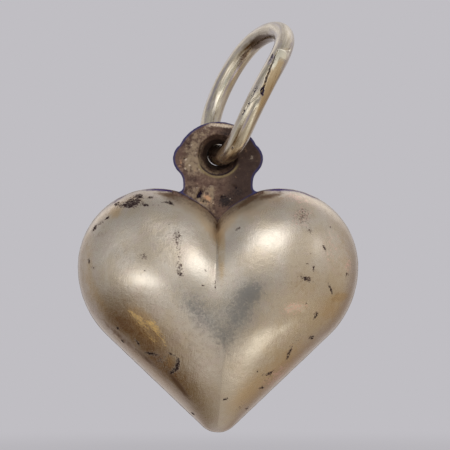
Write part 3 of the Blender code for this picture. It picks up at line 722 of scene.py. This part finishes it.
def lobe_grid(inset, columns, hand, form):
    """Points of one lobe's half of a shell, by row and column: across, out and up."""
    which = 1 if hand > 0 else 0
    above = LOBE_RADIUS - inset
    below = TIP_RADIUS - TIP_CENTRE - inset
    cleft_turn = math.acos(cleft_height(inset) / above)
    turns = np.concatenate([
        np.linspace(0.0, cleft_turn, ROWS_TO_CLEFT, endpoint=False),
        np.linspace(cleft_turn, 0.5 * np.pi, ROWS_TO_MIDDLE, endpoint=False),
        np.linspace(0.5 * np.pi, np.pi, ROWS_TO_TIP + 1),
    ])
    height = np.where(turns <= 0.5 * np.pi, above, below) * np.cos(turns)
    plain_crest = crest_line(form, height, inset)
    crest = plain_crest - form.leans[which] * rise(height, LEAN) * rise(height, (above, -TOP_FADE))
    outer = half_width(height, inset) - crest
    inner = inner_reach(form, height, crest, plain_crest, inset)
    reach = np.where(crest >= 0.0, inner, outer)
    end = np.arccos(np.clip(-crest / np.maximum(reach, LEAST_REACH), -1.0, 1.0))
    end[:ROWS_TO_CLEFT + 1] = np.pi
    end[-1] = 0.5 * np.pi
    angle = end[:, None] * np.linspace(0.0, 1.0, columns + 1)[None, :]
    lateral = np.cos(angle)
    across = crest[:, None] + np.where(lateral >= 0.0, outer[:, None], inner[:, None]) * lateral
    across[ROWS_TO_CLEFT:, -1] = 0.0
    across = np.maximum(across, 0.0)
    up = np.repeat(height[:, None], columns + 1, axis=1)
    peak = -form.drops[which] * rise(across, (0.0, LOBE_OFFSET))
    out = crest_height(form, up, inset, peak) * np.sin(angle)
    wander = form.wander * np.interp(up, LINE_HEIGHTS, LINE_SHIFTS) * band(across, LINE_REACH)
    off_rim = (0.0, BUMP_EDGE)
    across = hand * across + wander * rise(out, off_rim)
    out = out + form.bumps * bump_height(across, up) * rise(out, off_rim)
    out = HALF_SEAM + out * (1.0 - HALF_SEAM / form.height)
    return np.stack([across, out, up], axis=-1)


def grid_faces(start, rows, columns, turned):
    """Quads of a grid of points."""
    row, column = np.meshgrid(np.arange(rows - 1), np.arange(columns - 1), indexing="ij")
    corner = start + row * columns + column
    quads = np.stack([corner, corner + 1, corner + columns + 1, corner + columns], axis=-1)
    quads = quads.reshape(-1, 4)
    return quads[:, ::-1] if turned else quads


def weld(points, quads):
    """Merges equal points and drops the sides that a pole or the centre line closes."""
    merged, place = np.unique(np.round(points, WELD_DECIMALS), axis=0, return_inverse=True)
    faces = []
    for quad in place.reshape(-1)[quads]:
        face = [a for i, a in enumerate(quad) if a != quad[i - 1]]
        if len(set(face)) > 2:
            faces.append(face)
    return merged, faces


def shell_mesh(side, form):
    """One shell of the heart with its wall; side is 1 for the front and -1 for the back."""
    points, quads = [], []
    start = 0
    for hand in (1, -1):
        outer = lobe_grid(0.0, OUTER_COLUMNS, hand, form)
        inner = lobe_grid(SHEET_THICKNESS, INNER_COLUMNS, hand, form)
        rim = np.stack([outer[:, 0], inner[:, 0]], axis=1)
        cleft = np.stack([inner[:ROWS_TO_CLEFT + 1, -1], outer[:ROWS_TO_CLEFT + 1, -1]], axis=1)
        turned = hand * side > 0
        for grid, flip in ((outer, False), (inner, True), (rim, True), (cleft, True)):
            flat = grid.reshape(-1, 3) * (1.0, -side, 1.0)
            points.append(flat)
            quads.append(grid_faces(start, grid.shape[0], grid.shape[1], turned != flip))
            start += len(flat)
    return weld(np.concatenate(points), np.concatenate(quads))


def new_mesh(name, points, edges=(), faces=()):
    mesh = bpy.data.meshes.new(name)
    mesh.from_pydata([tuple(p) for p in points], edges, [list(map(int, f)) for f in faces])
    mesh.update()
    return mesh


def add_fields(mesh, fields):
    """Stores named numbers for each point of a mesh."""
    for name, values in fields.items():
        attribute = mesh.attributes.new(name, "FLOAT", "POINT")
        attribute.data.foreach_set("value", np.asarray(values, np.float32))


def read(items, kind, width=3, number=np.float32):
    """What each of a mesh's points, edges or triangles holds, by row."""
    values = np.empty(len(items) * width, number)
    items.foreach_get(kind, values)
    return values.reshape(-1, width)


def read_points(mesh):
    return read(mesh.vertices, "co").astype(float)


def marks(across, up, spots):
    """Soft-edged spots, given in hundredths, added up at each point."""
    total = np.zeros_like(across)
    for *sizes, slant, strength in spots:
        x, z, length, width = (size / 100 for size in sizes)
        turn = math.radians(slant)
        along = (across - x) * math.cos(turn) + (up - z) * math.sin(turn)
        aside = (up - z) * math.cos(turn) - (across - x) * math.sin(turn)
        total += strength / 100 * np.exp(-((along / length) ** 2 + (aside / width) ** 2))
    return total


def path_distance(across, up, path):
    """Distance of each point from a path of straight lines."""
    nearest = np.full_like(across, np.inf)
    for start, end in zip(path, path[1:]):
        way = end - start
        x = across - start[0]
        z = up - start[1]
        share = np.clip((x * way[0] + z * way[1]) / (way @ way), 0.0, 1.0)
        nearest = np.minimum(nearest, np.hypot(x - share * way[0], z - share * way[1]))
    return nearest


def evaluated_mesh(obj):
    """The plain mesh that an object's modifiers make; the object is removed."""
    depsgraph = bpy.context.evaluated_depsgraph_get()
    mesh = bpy.data.meshes.new_from_object(obj.evaluated_get(depsgraph))
    bpy.data.objects.remove(obj, do_unlink=True)
    return mesh


def turn_outward(mesh):
    """Turns a closed mesh right side out where its volume comes out below zero."""
    mesh.calc_loop_triangles()
    corners = read(mesh.loop_triangles, "vertices", 3, np.int32)
    a, b, c = read_points(mesh)[corners].transpose(1, 0, 2)
    if np.einsum("ij,ij->i", a, np.cross(b, c)).sum() < 0.0:
        mesh.flip_normals()


def new_object(name, data):
    obj = bpy.data.objects.new(name, data)
    bpy.context.scene.collection.objects.link(obj)
    return obj


def set_down(name, obj, material, body, slot, *nodes):
    """Turns a shaped object into a plain finished mesh in metres and hands it to its body."""
    mesh = evaluated_mesh(obj)
    mesh.name = name
    turn_outward(mesh)
    mesh.transform(Matrix.Scale(MM, 4))
    if material.name not in mesh.materials:
        mesh.materials.clear()
        mesh.materials.append(material)
    mesh.shade_smooth()
    mesh.set_sharp_from_angle(angle=SHARP_ANGLE)
    piece = new_object(name, mesh)
    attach(piece, body)
    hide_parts(*nodes)


def set_down_uneven(name, mesh, sizes, material, body, slot, *nodes, drawn=False):
    """Moves a skin in and out by soft noise, where its free field allows, and sets it down."""
    tree, geometry, size = new_group("uneven_skin", sizes)
    place = tree.add("GeometryNodeInputPosition")
    if drawn:
        place = tree.stored("drawn", "FLOAT_VECTOR")
    scale = tree.math("DIVIDE", 1.0, size["Size"])
    inputs = {"Vector": place, "W": size["Seed"], "Scale": scale, "Detail": 2.0, "Roughness": 0.5}
    noise = tree.add("ShaderNodeTexNoise", inputs, noise_dimensions="4D")
    skin = tree.lift(geometry, noise, size["Depth"], tree.stored("free"), tree.stored("sunk"))
    obj = new_object("shaping", mesh)
    end_group(obj, tree, skin, material, sizes)
    set_down(name, obj, material, body, slot, *nodes)


def silver_finish(name, pale, warm):
    """Warm silver with wear: tarnish in clouds and stains, dark pits, painted highlights and
    glints, painted shade in the crease and round the lug's root, and painted dark reflections.
    """
    material, tree, shader, place = new_material(name)
    noises = tree.noises(place, SILVER_NOISES)
    grain, fine = noises["grain"], noises["fine"]
    noises["streak"] = tree.noise(tree.stretched(place, GOLD_STRETCH, GOLD_TURN), 1.0, 5.0, 0.7)
    noises["smoke"] = tree.mix(0.5, grain, noises["mottle"])
    scratch = tree.noise(tree.stretched(place, SCRATCH_STRETCH, SCRATCH_TURN), 1.0, 3.0, 0.6)
    borders = {name: tree.step(tree.field(name), *ends) for name, ends in BORDERS.items()}
    # Fine noise breaks the painted glints up into sparkles
    glitter = tree.step(fine, 0.42, 0.56, 0.40, 1.0)
    borders["gold_and_glints"] = tree.math("MULTIPLY", borders["gold_and_glints"], glitter)
    layers = (("broad", "", 0.36, 0.64, 1.0, 0.0, pale), *SILVER_LAYERS)
    tint, strengths = tree.layered(warm, noises, layers, borders)
    pit = tree.pits(0.50, noises["speckle"], 0.72, 0.90)
    deep = tree.step(tree.field("pitted"), 0.45, 0.85)
    brown = tree.mix(deep, (0.120, 0.070, 0.058), (0.044, 0.026, 0.030))
    # Specular tint lowered where the painted dark violet reflection lies
    edge_tint = tree.mix(strengths["violet_reflection"], WHITE, (0.32, 0.27, 0.48))
    rough = tree.total(
        tree.step(grain, 0.30, 0.75, 0.20, 0.33), (strengths["stain_and_shade"], 0.174),
        (strengths["rubbed_and_highlit"], -0.0714), (strengths["clouded"], 0.08),
        (tree.field("flowed"), 0.30), (strengths["gold_and_glints"], 0.32), (pit, 0.08),
    )
    values = {
        "Base Color": tree.mix(pit, tint, brown), "Metallic": tree.total(1.0, (pit, -0.20)),
        "Specular Tint": tree.mix(pit, edge_tint, (0.16, 0.12, 0.12)), "Roughness": rough,
    }
    height = tree.total(grain, (scratch, 0.45), (fine, 0.45), (pit, -0.4))
    end_material(tree, shader, values, height, SILVER_BUMP)
    return material


def solder_finish(name, pale, dark):
    """Dull solder: uneven tarnish with blacker specks."""
    material, tree, shader, place = new_material(name)
    noises = tree.noises(place, SOLDER_NOISES)
    fine = noises["fine"]
    layers = (
        ("grain", "", 0.36, 0.66, 1.0, 0.0, pale),
        ("fine", "", 0.58, 0.76, 1.0, 0.0, tuple(0.35 * c for c in dark)),
    )
    tint = tree.layered(dark, noises, layers)[0]
    rough = tree.step(fine, 0.3, 0.7, 0.30, 0.50)
    values = {"Base Color": tint, "Metallic": 0.9, "Roughness": rough}
    end_material(tree, shader, values, tree.total(noises["grain"], (fine, 0.5)), SOLDER_BUMP)
    return material


def wire_finish():
    """Drawn silver wire: streaks along it, warm tarnish and small pits, with painted highlights,
    painted lilac reflections and a painted dark reflection.
    """
    material, tree, shader, place = new_material("wire_finish")
    noises = tree.noises(place, WIRE_NOISES)
    noises.update(tree.noises(tree.field("drawn", "Vector"), DRAWN_NOISES))
    grain, streak = noises["grain"], noises["streak"]
    tint, strengths = tree.layered(WIRE_DULL, noises, WIRE_LAYERS)
    pit = tree.pits(0.52, noises["speckle"], 0.73, 0.88)
    rough = tree.total(
        tree.step(streak, 0.35, 0.65, 0.14, 0.27), (strengths["gold_and_glints"], 0.178), (pit, 0.45),
    )
    values = {
        "Base Color": tree.mix(pit, tint, (0.060, 0.040, 0.080)),
        "Metallic": tree.total(1.0, (pit, -0.6)), "Roughness": rough,
    }
    end_material(tree, shader, values, tree.total(grain, (streak, 0.6)), WIRE_BUMP)
    return material


def lug_finish(name):
    """Rough cast silver under a dark patina, with wear, painted highlights on its top edge, ears
    and round the eye, painted shade on its right side and inside the eye, and a painted dark
    reflection on its side edges.
    """
    material, tree, shader, place = new_material(name)
    noises = tree.noises(place, LUG_NOISES)
    grain, fine = noises["grain"], noises["fine"]
    tint, strengths = tree.layered(LUG_DARK, noises, LUG_LAYERS)
    pit = tree.pits(0.6, fine, 0.78, 0.92)
    # Wear and painted highlights make the lug smoother
    worn_and_highlit = tree.spread(grain, "worn_and_highlit", 0.20, 0.80, 1.0, 0.9)
    # Painted shade inside the eye: rougher, with its reflection tinted down
    bore_shade = strengths["bore_shade"]
    rough = tree.total(
        tree.step(fine, 0.30, 0.70, 0.38, 0.58), (worn_and_highlit, -0.14), (bore_shade, 0.45), (pit, 0.2),
    )
    values = {
        "Base Color": tree.mix(pit, tint, (0.025, 0.014, 0.035)), "Metallic": 0.75,
        "Roughness": rough, "Specular Tint": tree.mix(bore_shade, WHITE, (0.08, 0.07, 0.06)),
    }
    end_material(tree, shader, values, tree.total(grain, (fine, 0.5), (pit, -1.0)), LUG_BUMP)
    return material


def make_shells():
    """Both pressed shells, each with its wall, its unevenness and the marks on it."""
    root = np.array(ROOT_PATH)
    for name, side, form, node, slot, share, pale, warm in SHELLS:
        points, faces = shell_mesh(side, form)
        across, out, up = side * points[:, 0], points[:, 1], points[:, 2]
        from_edge = half_width(up, 0.0) - np.abs(across)
        from_root = path_distance(np.abs(across), up - EYE_TO_LOBES, root)
        free = rise(from_edge, INSIDE_RIM) * rise(np.abs(out), OFF_SEAM)
        pits = marks(across, up, PITS)
        fields = {
            "free": free,
            "sunk": share * PIT_DEPTH * rise(pits, PIT_CORE) * free,
            "pitted": share * np.minimum(pits, PIT_MOST),
            # Stains, plus painted shade in a band round the lug's root
            "stain_and_shade": marks(across, up, STAINS_AND_SHADE) + STAIN_SHADE_SHARE * band(from_root, STAIN_SHADE_REACH),
            "violet_reflection": share ** 3 * marks(across, up, VIOLET_REFLECTIONS) * band(out, VIOLET_REFLECTION_REACH),
            "rim": band(from_edge, RIM_REACH),
            "flowed": band(from_root, FLOW_REACH),
        }
        for label, spots in SHELL_MARKS.items():
            fields[label] = share * marks(across, up, spots)
        for label, spots in FRONT_MARKS.items():
            fields[label] = marks(across, up, spots) * (side > 0)
        mesh = new_mesh(name, points + EYE - (0.0, 0.0, EYE_TO_LOBES), faces=faces)
        add_fields(mesh, fields)
        material = silver_finish(name + "_finish", pale, warm)
        set_down_uneven(name, mesh, SHELL_DENTS, material, "heart", slot, node)


def outline_loop():
    """The heart's whole outline, from the cleft round the right lobe and back up the left."""
    cleft_turn = math.acos(cleft_height(0.0) / LOBE_RADIUS)
    inner = np.linspace(cleft_turn, 0.0, CLEFT_POINTS, endpoint=False)
    side = [(LOBE_OFFSET - LOBE_RADIUS * math.sin(t), LOBE_RADIUS * math.cos(t)) for t in inner]
    below = TIP_RADIUS - TIP_CENTRE
    for turn in np.linspace(0.0, math.pi, LOBE_POINTS):
        height = math.cos(turn) * (LOBE_RADIUS if turn < 0.5 * math.pi else below)
        side.append((float(half_width(np.array(height), 0.0)), height))
    return np.array(side + [(-x, z) for x, z in side[-2:0:-1]])


def loop_edges(count, closed):
    return [(i, (i + 1) % count) for i in range(count if closed else count - 1)]


def make_rim_seam():
    """The bead of solder that runs round the rim between the two shells."""
    loop = outline_loop()
    inward = np.roll(loop, -1, axis=0) - np.roll(loop, 1, axis=0)
    inward = np.stack([inward[:, 1], -inward[:, 0]], axis=1)
    inward /= np.linalg.norm(inward, axis=1, keepdims=True)
    turned = ((OUTLINE_MIDDLE - loop) * inward).sum(axis=1) < 0.0
    x, z = (loop + SEAM_INSET * inward * np.where(turned, -1.0, 1.0)[:, None]).T
    points = np.stack([x, np.zeros_like(x), z - EYE_TO_LOBES], axis=1) + EYE
    obj = new_object("shaping", new_mesh("rim_bead", points, loop_edges(len(points), True)))
    material = solder_finish("rim_solder_finish", (0.68, 0.61, 0.53), (0.52, 0.45, 0.37))
    tree, geometry, size = new_group("seam_bead", SEAM_BEAD)
    bead = tree.tube(geometry, SEAM_SIDES, size["Radius"])
    place = tree.add("GeometryNodeInputPosition")
    noise = tree.noise(place, tree.math("DIVIDE", 1.0, size["Size"]), 2.0)
    end_group(obj, tree, tree.lift(bead, noise, size["Depth"]), material, SEAM_BEAD)
    set_down("rim_bead", obj, material, "heart", "rim_solder", "rim_solder")


def ring_axes():
    """The ways up, to the front and to the side of the ring's own plane."""
    up = np.array((math.sin(RING_LEAN), 0.0, math.cos(RING_LEAN)))
    flat_front = np.array((0.0, -1.0, 0.0))
    flat_side = np.array((math.cos(RING_LEAN), 0.0, -math.sin(RING_LEAN)))
    front = flat_front * math.cos(RING_YAW) + flat_side * math.sin(RING_YAW)
    side = flat_side * math.cos(RING_YAW) - flat_front * math.sin(RING_YAW)
    return up, front, side


def ring_line(turn):
    """Points of the wire's centre line, seen from the eye."""
    up, front, side = ring_axes()
    turn = np.asarray(turn)[..., None]
    flat = RING_RADIUS * (up * (1.0 + np.cos(turn)) + front * np.sin(turn))
    warp = RING_WARP_TWICE * (np.cos(2.0 * turn) - 1.0) + RING_WARP_THRICE * np.sin(3.0 * turn)
    return flat + side * warp


def sweep(name, points, radius, steps, closed, strands, material):
    """A round wire along a path, made by Geometry Nodes; each point's own share scales it."""
    mesh = new_mesh(name, points, loop_edges(len(points), closed))
    add_fields(mesh, strands)
    obj = new_object("shaping", mesh)
    sizes = {"Radius": radius}
    tree, geometry, size = new_group("swept_wire", sizes)
    more = {"Scale": tree.stored("share")} if "share" in strands else {}
    more["Fill Caps"] = not closed
    end_group(obj, tree, tree.tube(geometry, steps, size["Radius"], **more), material, sizes)
    return evaluated_mesh(obj)


def ring_sweep(name, turns, radius, closed, material):
    """A wire along the ring: its mesh, each point's turn, its mm along and round the wire."""
    strands = {"turn_sine": np.sin(turns), "turn_cosine": np.cos(turns)}
    points = ring_line(turns) + EYE
    mesh = sweep(name, points, radius, WIRE_STEPS, closed, strands, material)
    stored = [read(mesh.attributes[label].data, "value", 1)[:, 0] for label in strands]
    turns = np.arctan2(*np.array(stored, float))
    line = ring_line(turns)
    along = ring_line(turns + SMALL_TURN) - ring_line(turns - SMALL_TURN)
    along /= np.linalg.norm(along, axis=1, keepdims=True)
    side = ring_axes()[2] - along * (along @ ring_axes()[2])[:, None]
    side /= np.linalg.norm(side, axis=1, keepdims=True)
    away = read_points(mesh) - EYE - line
    angle = np.arctan2((away * np.cross(side, along)).sum(axis=1), (away * side).sum(axis=1))
    turns = np.where(turns < 0.0, turns + math.tau, turns)
    angle = np.where(angle < 0.0, angle + math.tau, angle)
    return mesh, turns, turns * RING_RADIUS, angle * WIRE_RADIUS


def make_ring():
    """The sprung ring with its lapped joint."""
    even = np.linspace(0.0, math.tau, RING_STEPS, endpoint=False)
    turns = even - JOINT_CROWD * np.sin(even - JOINT_PLACE)
    material = wire_finish()
    mesh, turn, run, way = ring_sweep("ring_wire", turns, WIRE_RADIUS, True, material)
    waved = way + sum(high * np.sin(rate * run + start) for high, rate, start in CRACK_WAVES)
    scale = (RING_RADIUS, WIRE_RADIUS)
    crack = band(path_distance(run, waved, np.radians(CRACK) * scale), CRACK_HALF)
    crack = crack * (1.0 - CRACK_FAINTER + CRACK_FAINTER * rise(run, CRACK_START))
    end_gap = path_distance(run, waved, np.radians(CRACK_END) * scale)
    crack = crack + CRACK_END_SHARE * band(end_gap, CRACK_HALF)
    past_edge = way - np.interp(run, *(np.radians(LAP_EDGE) * scale).T)
    swell = rise(past_edge, (0.0, LAP_STEP)) * rise(run, LAP_START) * rise(run, LAP_END)
    swell = swell * band(past_edge, LAP_SPREAD)
    filed = FILED_DEPTH * np.clip(marks(run, way, WIRE_GOLDS[:2]), 0.0, 1.0)
    fields = {label: marks(run, way, spots) for label, spots in WIRE_MARKS.items()}
    dips = CRACK_DEPTH * crack + WIRE_PIT_DEPTH * rise(fields["pitted"], WIRE_PIT_CORE)
    angle = way / WIRE_RADIUS
    from_eye = np.abs(turn - math.pi)
    swollen = EYE_SWELL * (1.0 - rise(from_eye, EYE_SWELL_FADE)) * np.sin(angle) ** 2
    fields["pitted"] = fields["pitted"] + CRACK_DARK * crack
    fields["free"] = (1.0 - LAP_CALM * np.clip(swell, 0.0, 1.0)) * rise(from_eye, EYE_CALM)
    fields["sunk"] = dips - LAP_SWELL * swell + filed - swollen
    add_fields(mesh, fields)
    along = DRAWN_ALONG * np.where(turn > math.pi, run - math.tau * RING_RADIUS, run)
    drawn = np.stack([along, DRAWN_ROUND * np.cos(angle), DRAWN_ROUND * np.sin(angle)], axis=1)
    attribute = mesh.attributes.new("drawn", "FLOAT_VECTOR", "POINT")
    attribute.data.foreach_set("vector", drawn.astype(np.float32).ravel())
    piece = ("ring_wire", mesh, WIRE_FLUTES, material, "ring", "wire_silver", "jump_ring")
    set_down_uneven(*piece, drawn=True)


def make_lap_solder():
    """The golden solder that fills the lap and is filed flush on its front."""
    turns = np.radians(np.linspace(*LAP_TURNS))
    material = solder_finish("ring_solder_finish", (0.66, 0.52, 0.33), (0.50, 0.36, 0.20))
    mesh, _, run, way = ring_sweep("lap_solder", turns, WIRE_RADIUS - LAP_SINK, False, material)
    patch = rise(marks(run, way, LAP_FILL), LAP_CORE)
    add_fields(mesh, {"free": patch, "sunk": -LAP_LIFT * patch})
    piece = ("lap_solder", mesh, SOLDER_LUMPS, material, "ring", "ring_solder", "ring_solder")
    set_down_uneven(*piece)


def cad_copy(node):
    """A merged copy of a solid's mesh, in millimetres."""
    mesh = frame["nodes"][node].data.copy()
    mesh.transform(Matrix.Scale(1.0 / MM, 4))
    merged = bmesh.new()
    merged.from_mesh(mesh)
    bmesh.ops.remove_doubles(merged, verts=merged.verts, dist=MERGE_DISTANCE)
    merged.to_mesh(mesh)
    merged.free()
    return mesh


def blurred(mesh, values, rounds):
    """A field averaged with its neighbours along the edges, a few times over."""
    first, second = read(mesh.edges, "vertices", 2, np.int32).T
    count = len(mesh.vertices)
    links = np.bincount(first, minlength=count) + np.bincount(second, minlength=count)
    for _ in range(rounds):
        total = np.bincount(first, values[second], count)
        total = total + np.bincount(second, values[first], count)
        values = 0.5 * values + 0.5 * total / np.maximum(links, 1)
    return values


def remeshed(mesh, rounds):
    """One smooth even skin over a mesh, as a new mesh."""
    obj = new_object("shaping", mesh)
    remesh = obj.modifiers.new("even_skin", "REMESH")
    remesh.mode = "VOXEL"
    remesh.voxel_size = LUG_VOXEL
    obj.modifiers.new("soft_edges", "SMOOTH").iterations = rounds
    return evaluated_mesh(obj)


def make_lug():
    """The cast lug: its eye narrows to a waist, its skin is lumpy and pitted, with wear, painted
    highlights and painted shade.
    """
    mesh = remeshed(cad_copy("lug"), LUG_ROUNDS)
    points = read_points(mesh)
    x, y, z = (points - EYE).T
    # How far each point faces sideways, for the painted dark blue reflection on the side edges
    sideways = 1.0 - np.abs(read(mesh.vertices, "normal")[:, 1].astype(float))
    sideways = blurred(mesh, sideways, EDGE_ROUNDS)
    radius = np.hypot(x, z)
    in_bore = rise(radius, BORE) * rise(np.abs(y), BORE_ENDS)
    slope = np.clip((EYE_WALL - np.abs(y)) / EYE_WALL, 0.0, 1.0)
    narrow = (EYE_RADIUS - EYE_WAIST) * slope * rise(radius, WAIST_EDGE)
    narrow = narrow / np.maximum(radius, LEAST_RADIUS)
    points -= np.stack([narrow * x, np.zeros_like(y), narrow * z], axis=1)
    mesh.vertices.foreach_set("co", points.astype(np.float32).ravel())
    front = rise(-y, FRONT_FACE)
    lower = rise(-z - LOWER_SLANT * np.abs(x), LOWER_HALF) * front
    lower_left = rise(-z - LEFT_SLANT * x, LOWER_LEFT) * front
    groove = band(radius, LIP_LINE[1], LIP_LINE[0]) * lower
    fields = {label: marks(x, z, spots) * front for label, spots in LUG_MARKS.items()}
    # Away from the painted highlight along the top edge
    off_top_highlight = 1.0 - np.clip(marks(x, z, LUG_WEAR_AND_HIGHLIGHTS[:2]), 0.0, 1.0)
    fields |= {
        "free": 1.0 - BORE_CALM * in_bore,
        "sunk": LUG_PIT_DEPTH * np.clip(fields["pitted"], 0.0, 1.0) + GROOVE_DEPTH * groove,
        "lip_light": band(radius, LIP_LIGHT[1], LIP_LIGHT[0]) * lower_left,
        "lip_line": groove,
        "lip_glow": GLOW_SHARE * band(radius, LIP_GLOW[1], LIP_GLOW[0]) * lower,
        "edge": sideways * rise(radius, OUTER_BORDER) * rise(-y, FRONT_BORDER) * off_top_highlight,
        "bore_shade": rise(radius, BORE_DARK),
    }
    add_fields(mesh, fields)
    material = lug_finish("lug_finish")
    set_down_uneven("lug_casting", mesh, LUG_LUMPS, material, "heart", "lug_patina", "lug")


def make_root_solder():
    """Solder round the lug's filed root: the film in the seat and a fillet on each face."""
    material = lug_finish("lug_solder_finish")
    whole = bmesh.new()
    whole.from_mesh(cad_copy("lug_solder"))
    path = np.array([(-x, z) for x, z in FILLET_PATH[:-1]] + list(FILLET_PATH[::-1]))
    stations = np.linspace(0.0, len(path) - 1.0, FILLET_POINTS)
    x, z = (np.interp(stations, range(len(path)), column) for column in path.T)
    turns = np.linspace(FILLET_TURN, np.pi - FILLET_TURN, FILLET_POINTS)
    share = FILLET_ENDS + (1.0 - FILLET_ENDS) * np.sin(turns)
    for face in (-FILLET_OUT, FILLET_OUT):
        points = np.stack([x, np.full_like(x, face), z], axis=1) + EYE
        sizes = (FILLET_RADIUS, FILLET_SIDES)
        whole.from_mesh(sweep("fillet", points, *sizes, False, {"share": share}, material))
    mesh = bpy.data.meshes.new("root_solder")
    whole.to_mesh(mesh)
    whole.free()
    mesh = remeshed(mesh, SOLDER_ROUNDS)
    count = len(mesh.vertices)
    add_fields(mesh, {"free": np.ones(count), "sunk": np.zeros(count)})
    piece = ("root_solder", mesh, SOLDER_LUMPS, material, "heart", "lug_solder", "lug_solder")
    set_down_uneven(*piece)


def make_surroundings():
    """The pale room with its soft lamps, seen by the metal but not by the camera."""
    scene = bpy.context.scene
    scene.view_settings.view_transform = "Standard"
    world = bpy.data.worlds.new("surroundings")
    scene.world = world
    world.use_nodes = True
    tree = Tree(world.node_tree)
    seen = tree.add("ShaderNodeLightPath", output="Is Camera Ray")
    way = tree.add("ShaderNodeTexCoord", output="Generated")
    right, inward, up = tree.add("ShaderNodeSeparateXYZ", {0: way}, None)
    above = tree.math("MAXIMUM", up, 0.0)
    room = tree.total(ROOM_LEVEL, (above, ROOM_ABOVE), (right, ROOM_RIGHT))
    light = tree.mix(tree.step(inward, 0.0, 0.5), room, BACKGROUND)
    for azimuth, elevation, width, strength, tint in SOFT_LAMPS:
        a = math.radians(azimuth)
        e = math.radians(elevation)
        centre = (math.sin(a) * math.cos(e), -math.cos(a) * math.cos(e), math.sin(e))
        near = tree.vector("DOT_PRODUCT", way, centre, output="Value")
        fall = tree.math("MULTIPLY_ADD", near, 1.0 / width ** 2, -1.0 / width ** 2)
        glow = tree.math("EXPONENT", fall)
        light = tree.vector("MULTIPLY_ADD", glow, tuple(strength * t for t in tint), light)
    light = tree.vector("MAXIMUM", light, DARKEST)
    shade = world.node_tree.nodes["Background"]
    tree.feed(shade.inputs["Color"], tree.mix(seen, light, BACKGROUND))


def make_floor():
    """A pale floor under the pendant that fades into the background."""
    mesh = bpy.data.meshes.new("floor")
    disc = bmesh.new()
    bmesh.ops.create_circle(disc, cap_ends=True, segments=FLOOR_CORNERS, radius=FLOOR_RADIUS)
    disc.to_mesh(mesh)
    disc.free()
    mesh.transform(Matrix.Translation(FLOOR_CENTRE))
    floor = new_object("floor", mesh)
    floor.visible_glossy = False
    material = bpy.data.materials.new("floor_paper")
    material.use_nodes = True
    tree = Tree(material.node_tree)
    path = tree.add("ShaderNodeLightPath", output=None)
    seen = tree.math("ADD", path["Is Camera Ray"], path["Is Glossy Ray"], clamp=True)
    glow = tree.add("ShaderNodeEmission", {"Color": BACKGROUND})
    paper = tree.add("ShaderNodeBsdfDiffuse", {"Color": BACKGROUND})
    place = tree.add("ShaderNodeTexCoord", output="Object")
    away = tree.vector("DISTANCE", place, FLOOR_CENTRE, output="Value")
    share = tree.math("MULTIPLY", seen, tree.step(away, FLOOR_NEAR, FLOOR_FAR, FLOOR_GLOW, 1.0))
    blend = tree.add("ShaderNodeMixShader", {0: share, 1: paper, 2: glow})
    tree.feed(material.node_tree.nodes["Material Output"].inputs["Surface"], blend)
    mesh.materials.append(material)


def make_camera():
    camera = bpy.data.cameras.new("camera")
    camera.sensor_width = SENSOR
    camera.lens = SENSOR * CAMERA_DISTANCE / FIELD
    camera.clip_start = CLIP_START
    camera.clip_end = CLIP_END
    obj = new_object("camera", camera)
    obj.location = (VIEW_CENTRE[0] * MM, (EYE[1] - CAMERA_DISTANCE) * MM, VIEW_CENTRE[1] * MM)
    obj.rotation_euler = (0.5 * math.pi, 0.0, 0.0)
    bpy.context.scene.camera = obj


make_camera()
make_surroundings()
make_floor()
make_shells()
make_rim_seam()
make_ring()
make_lap_solder()
make_lug()
make_root_solder()
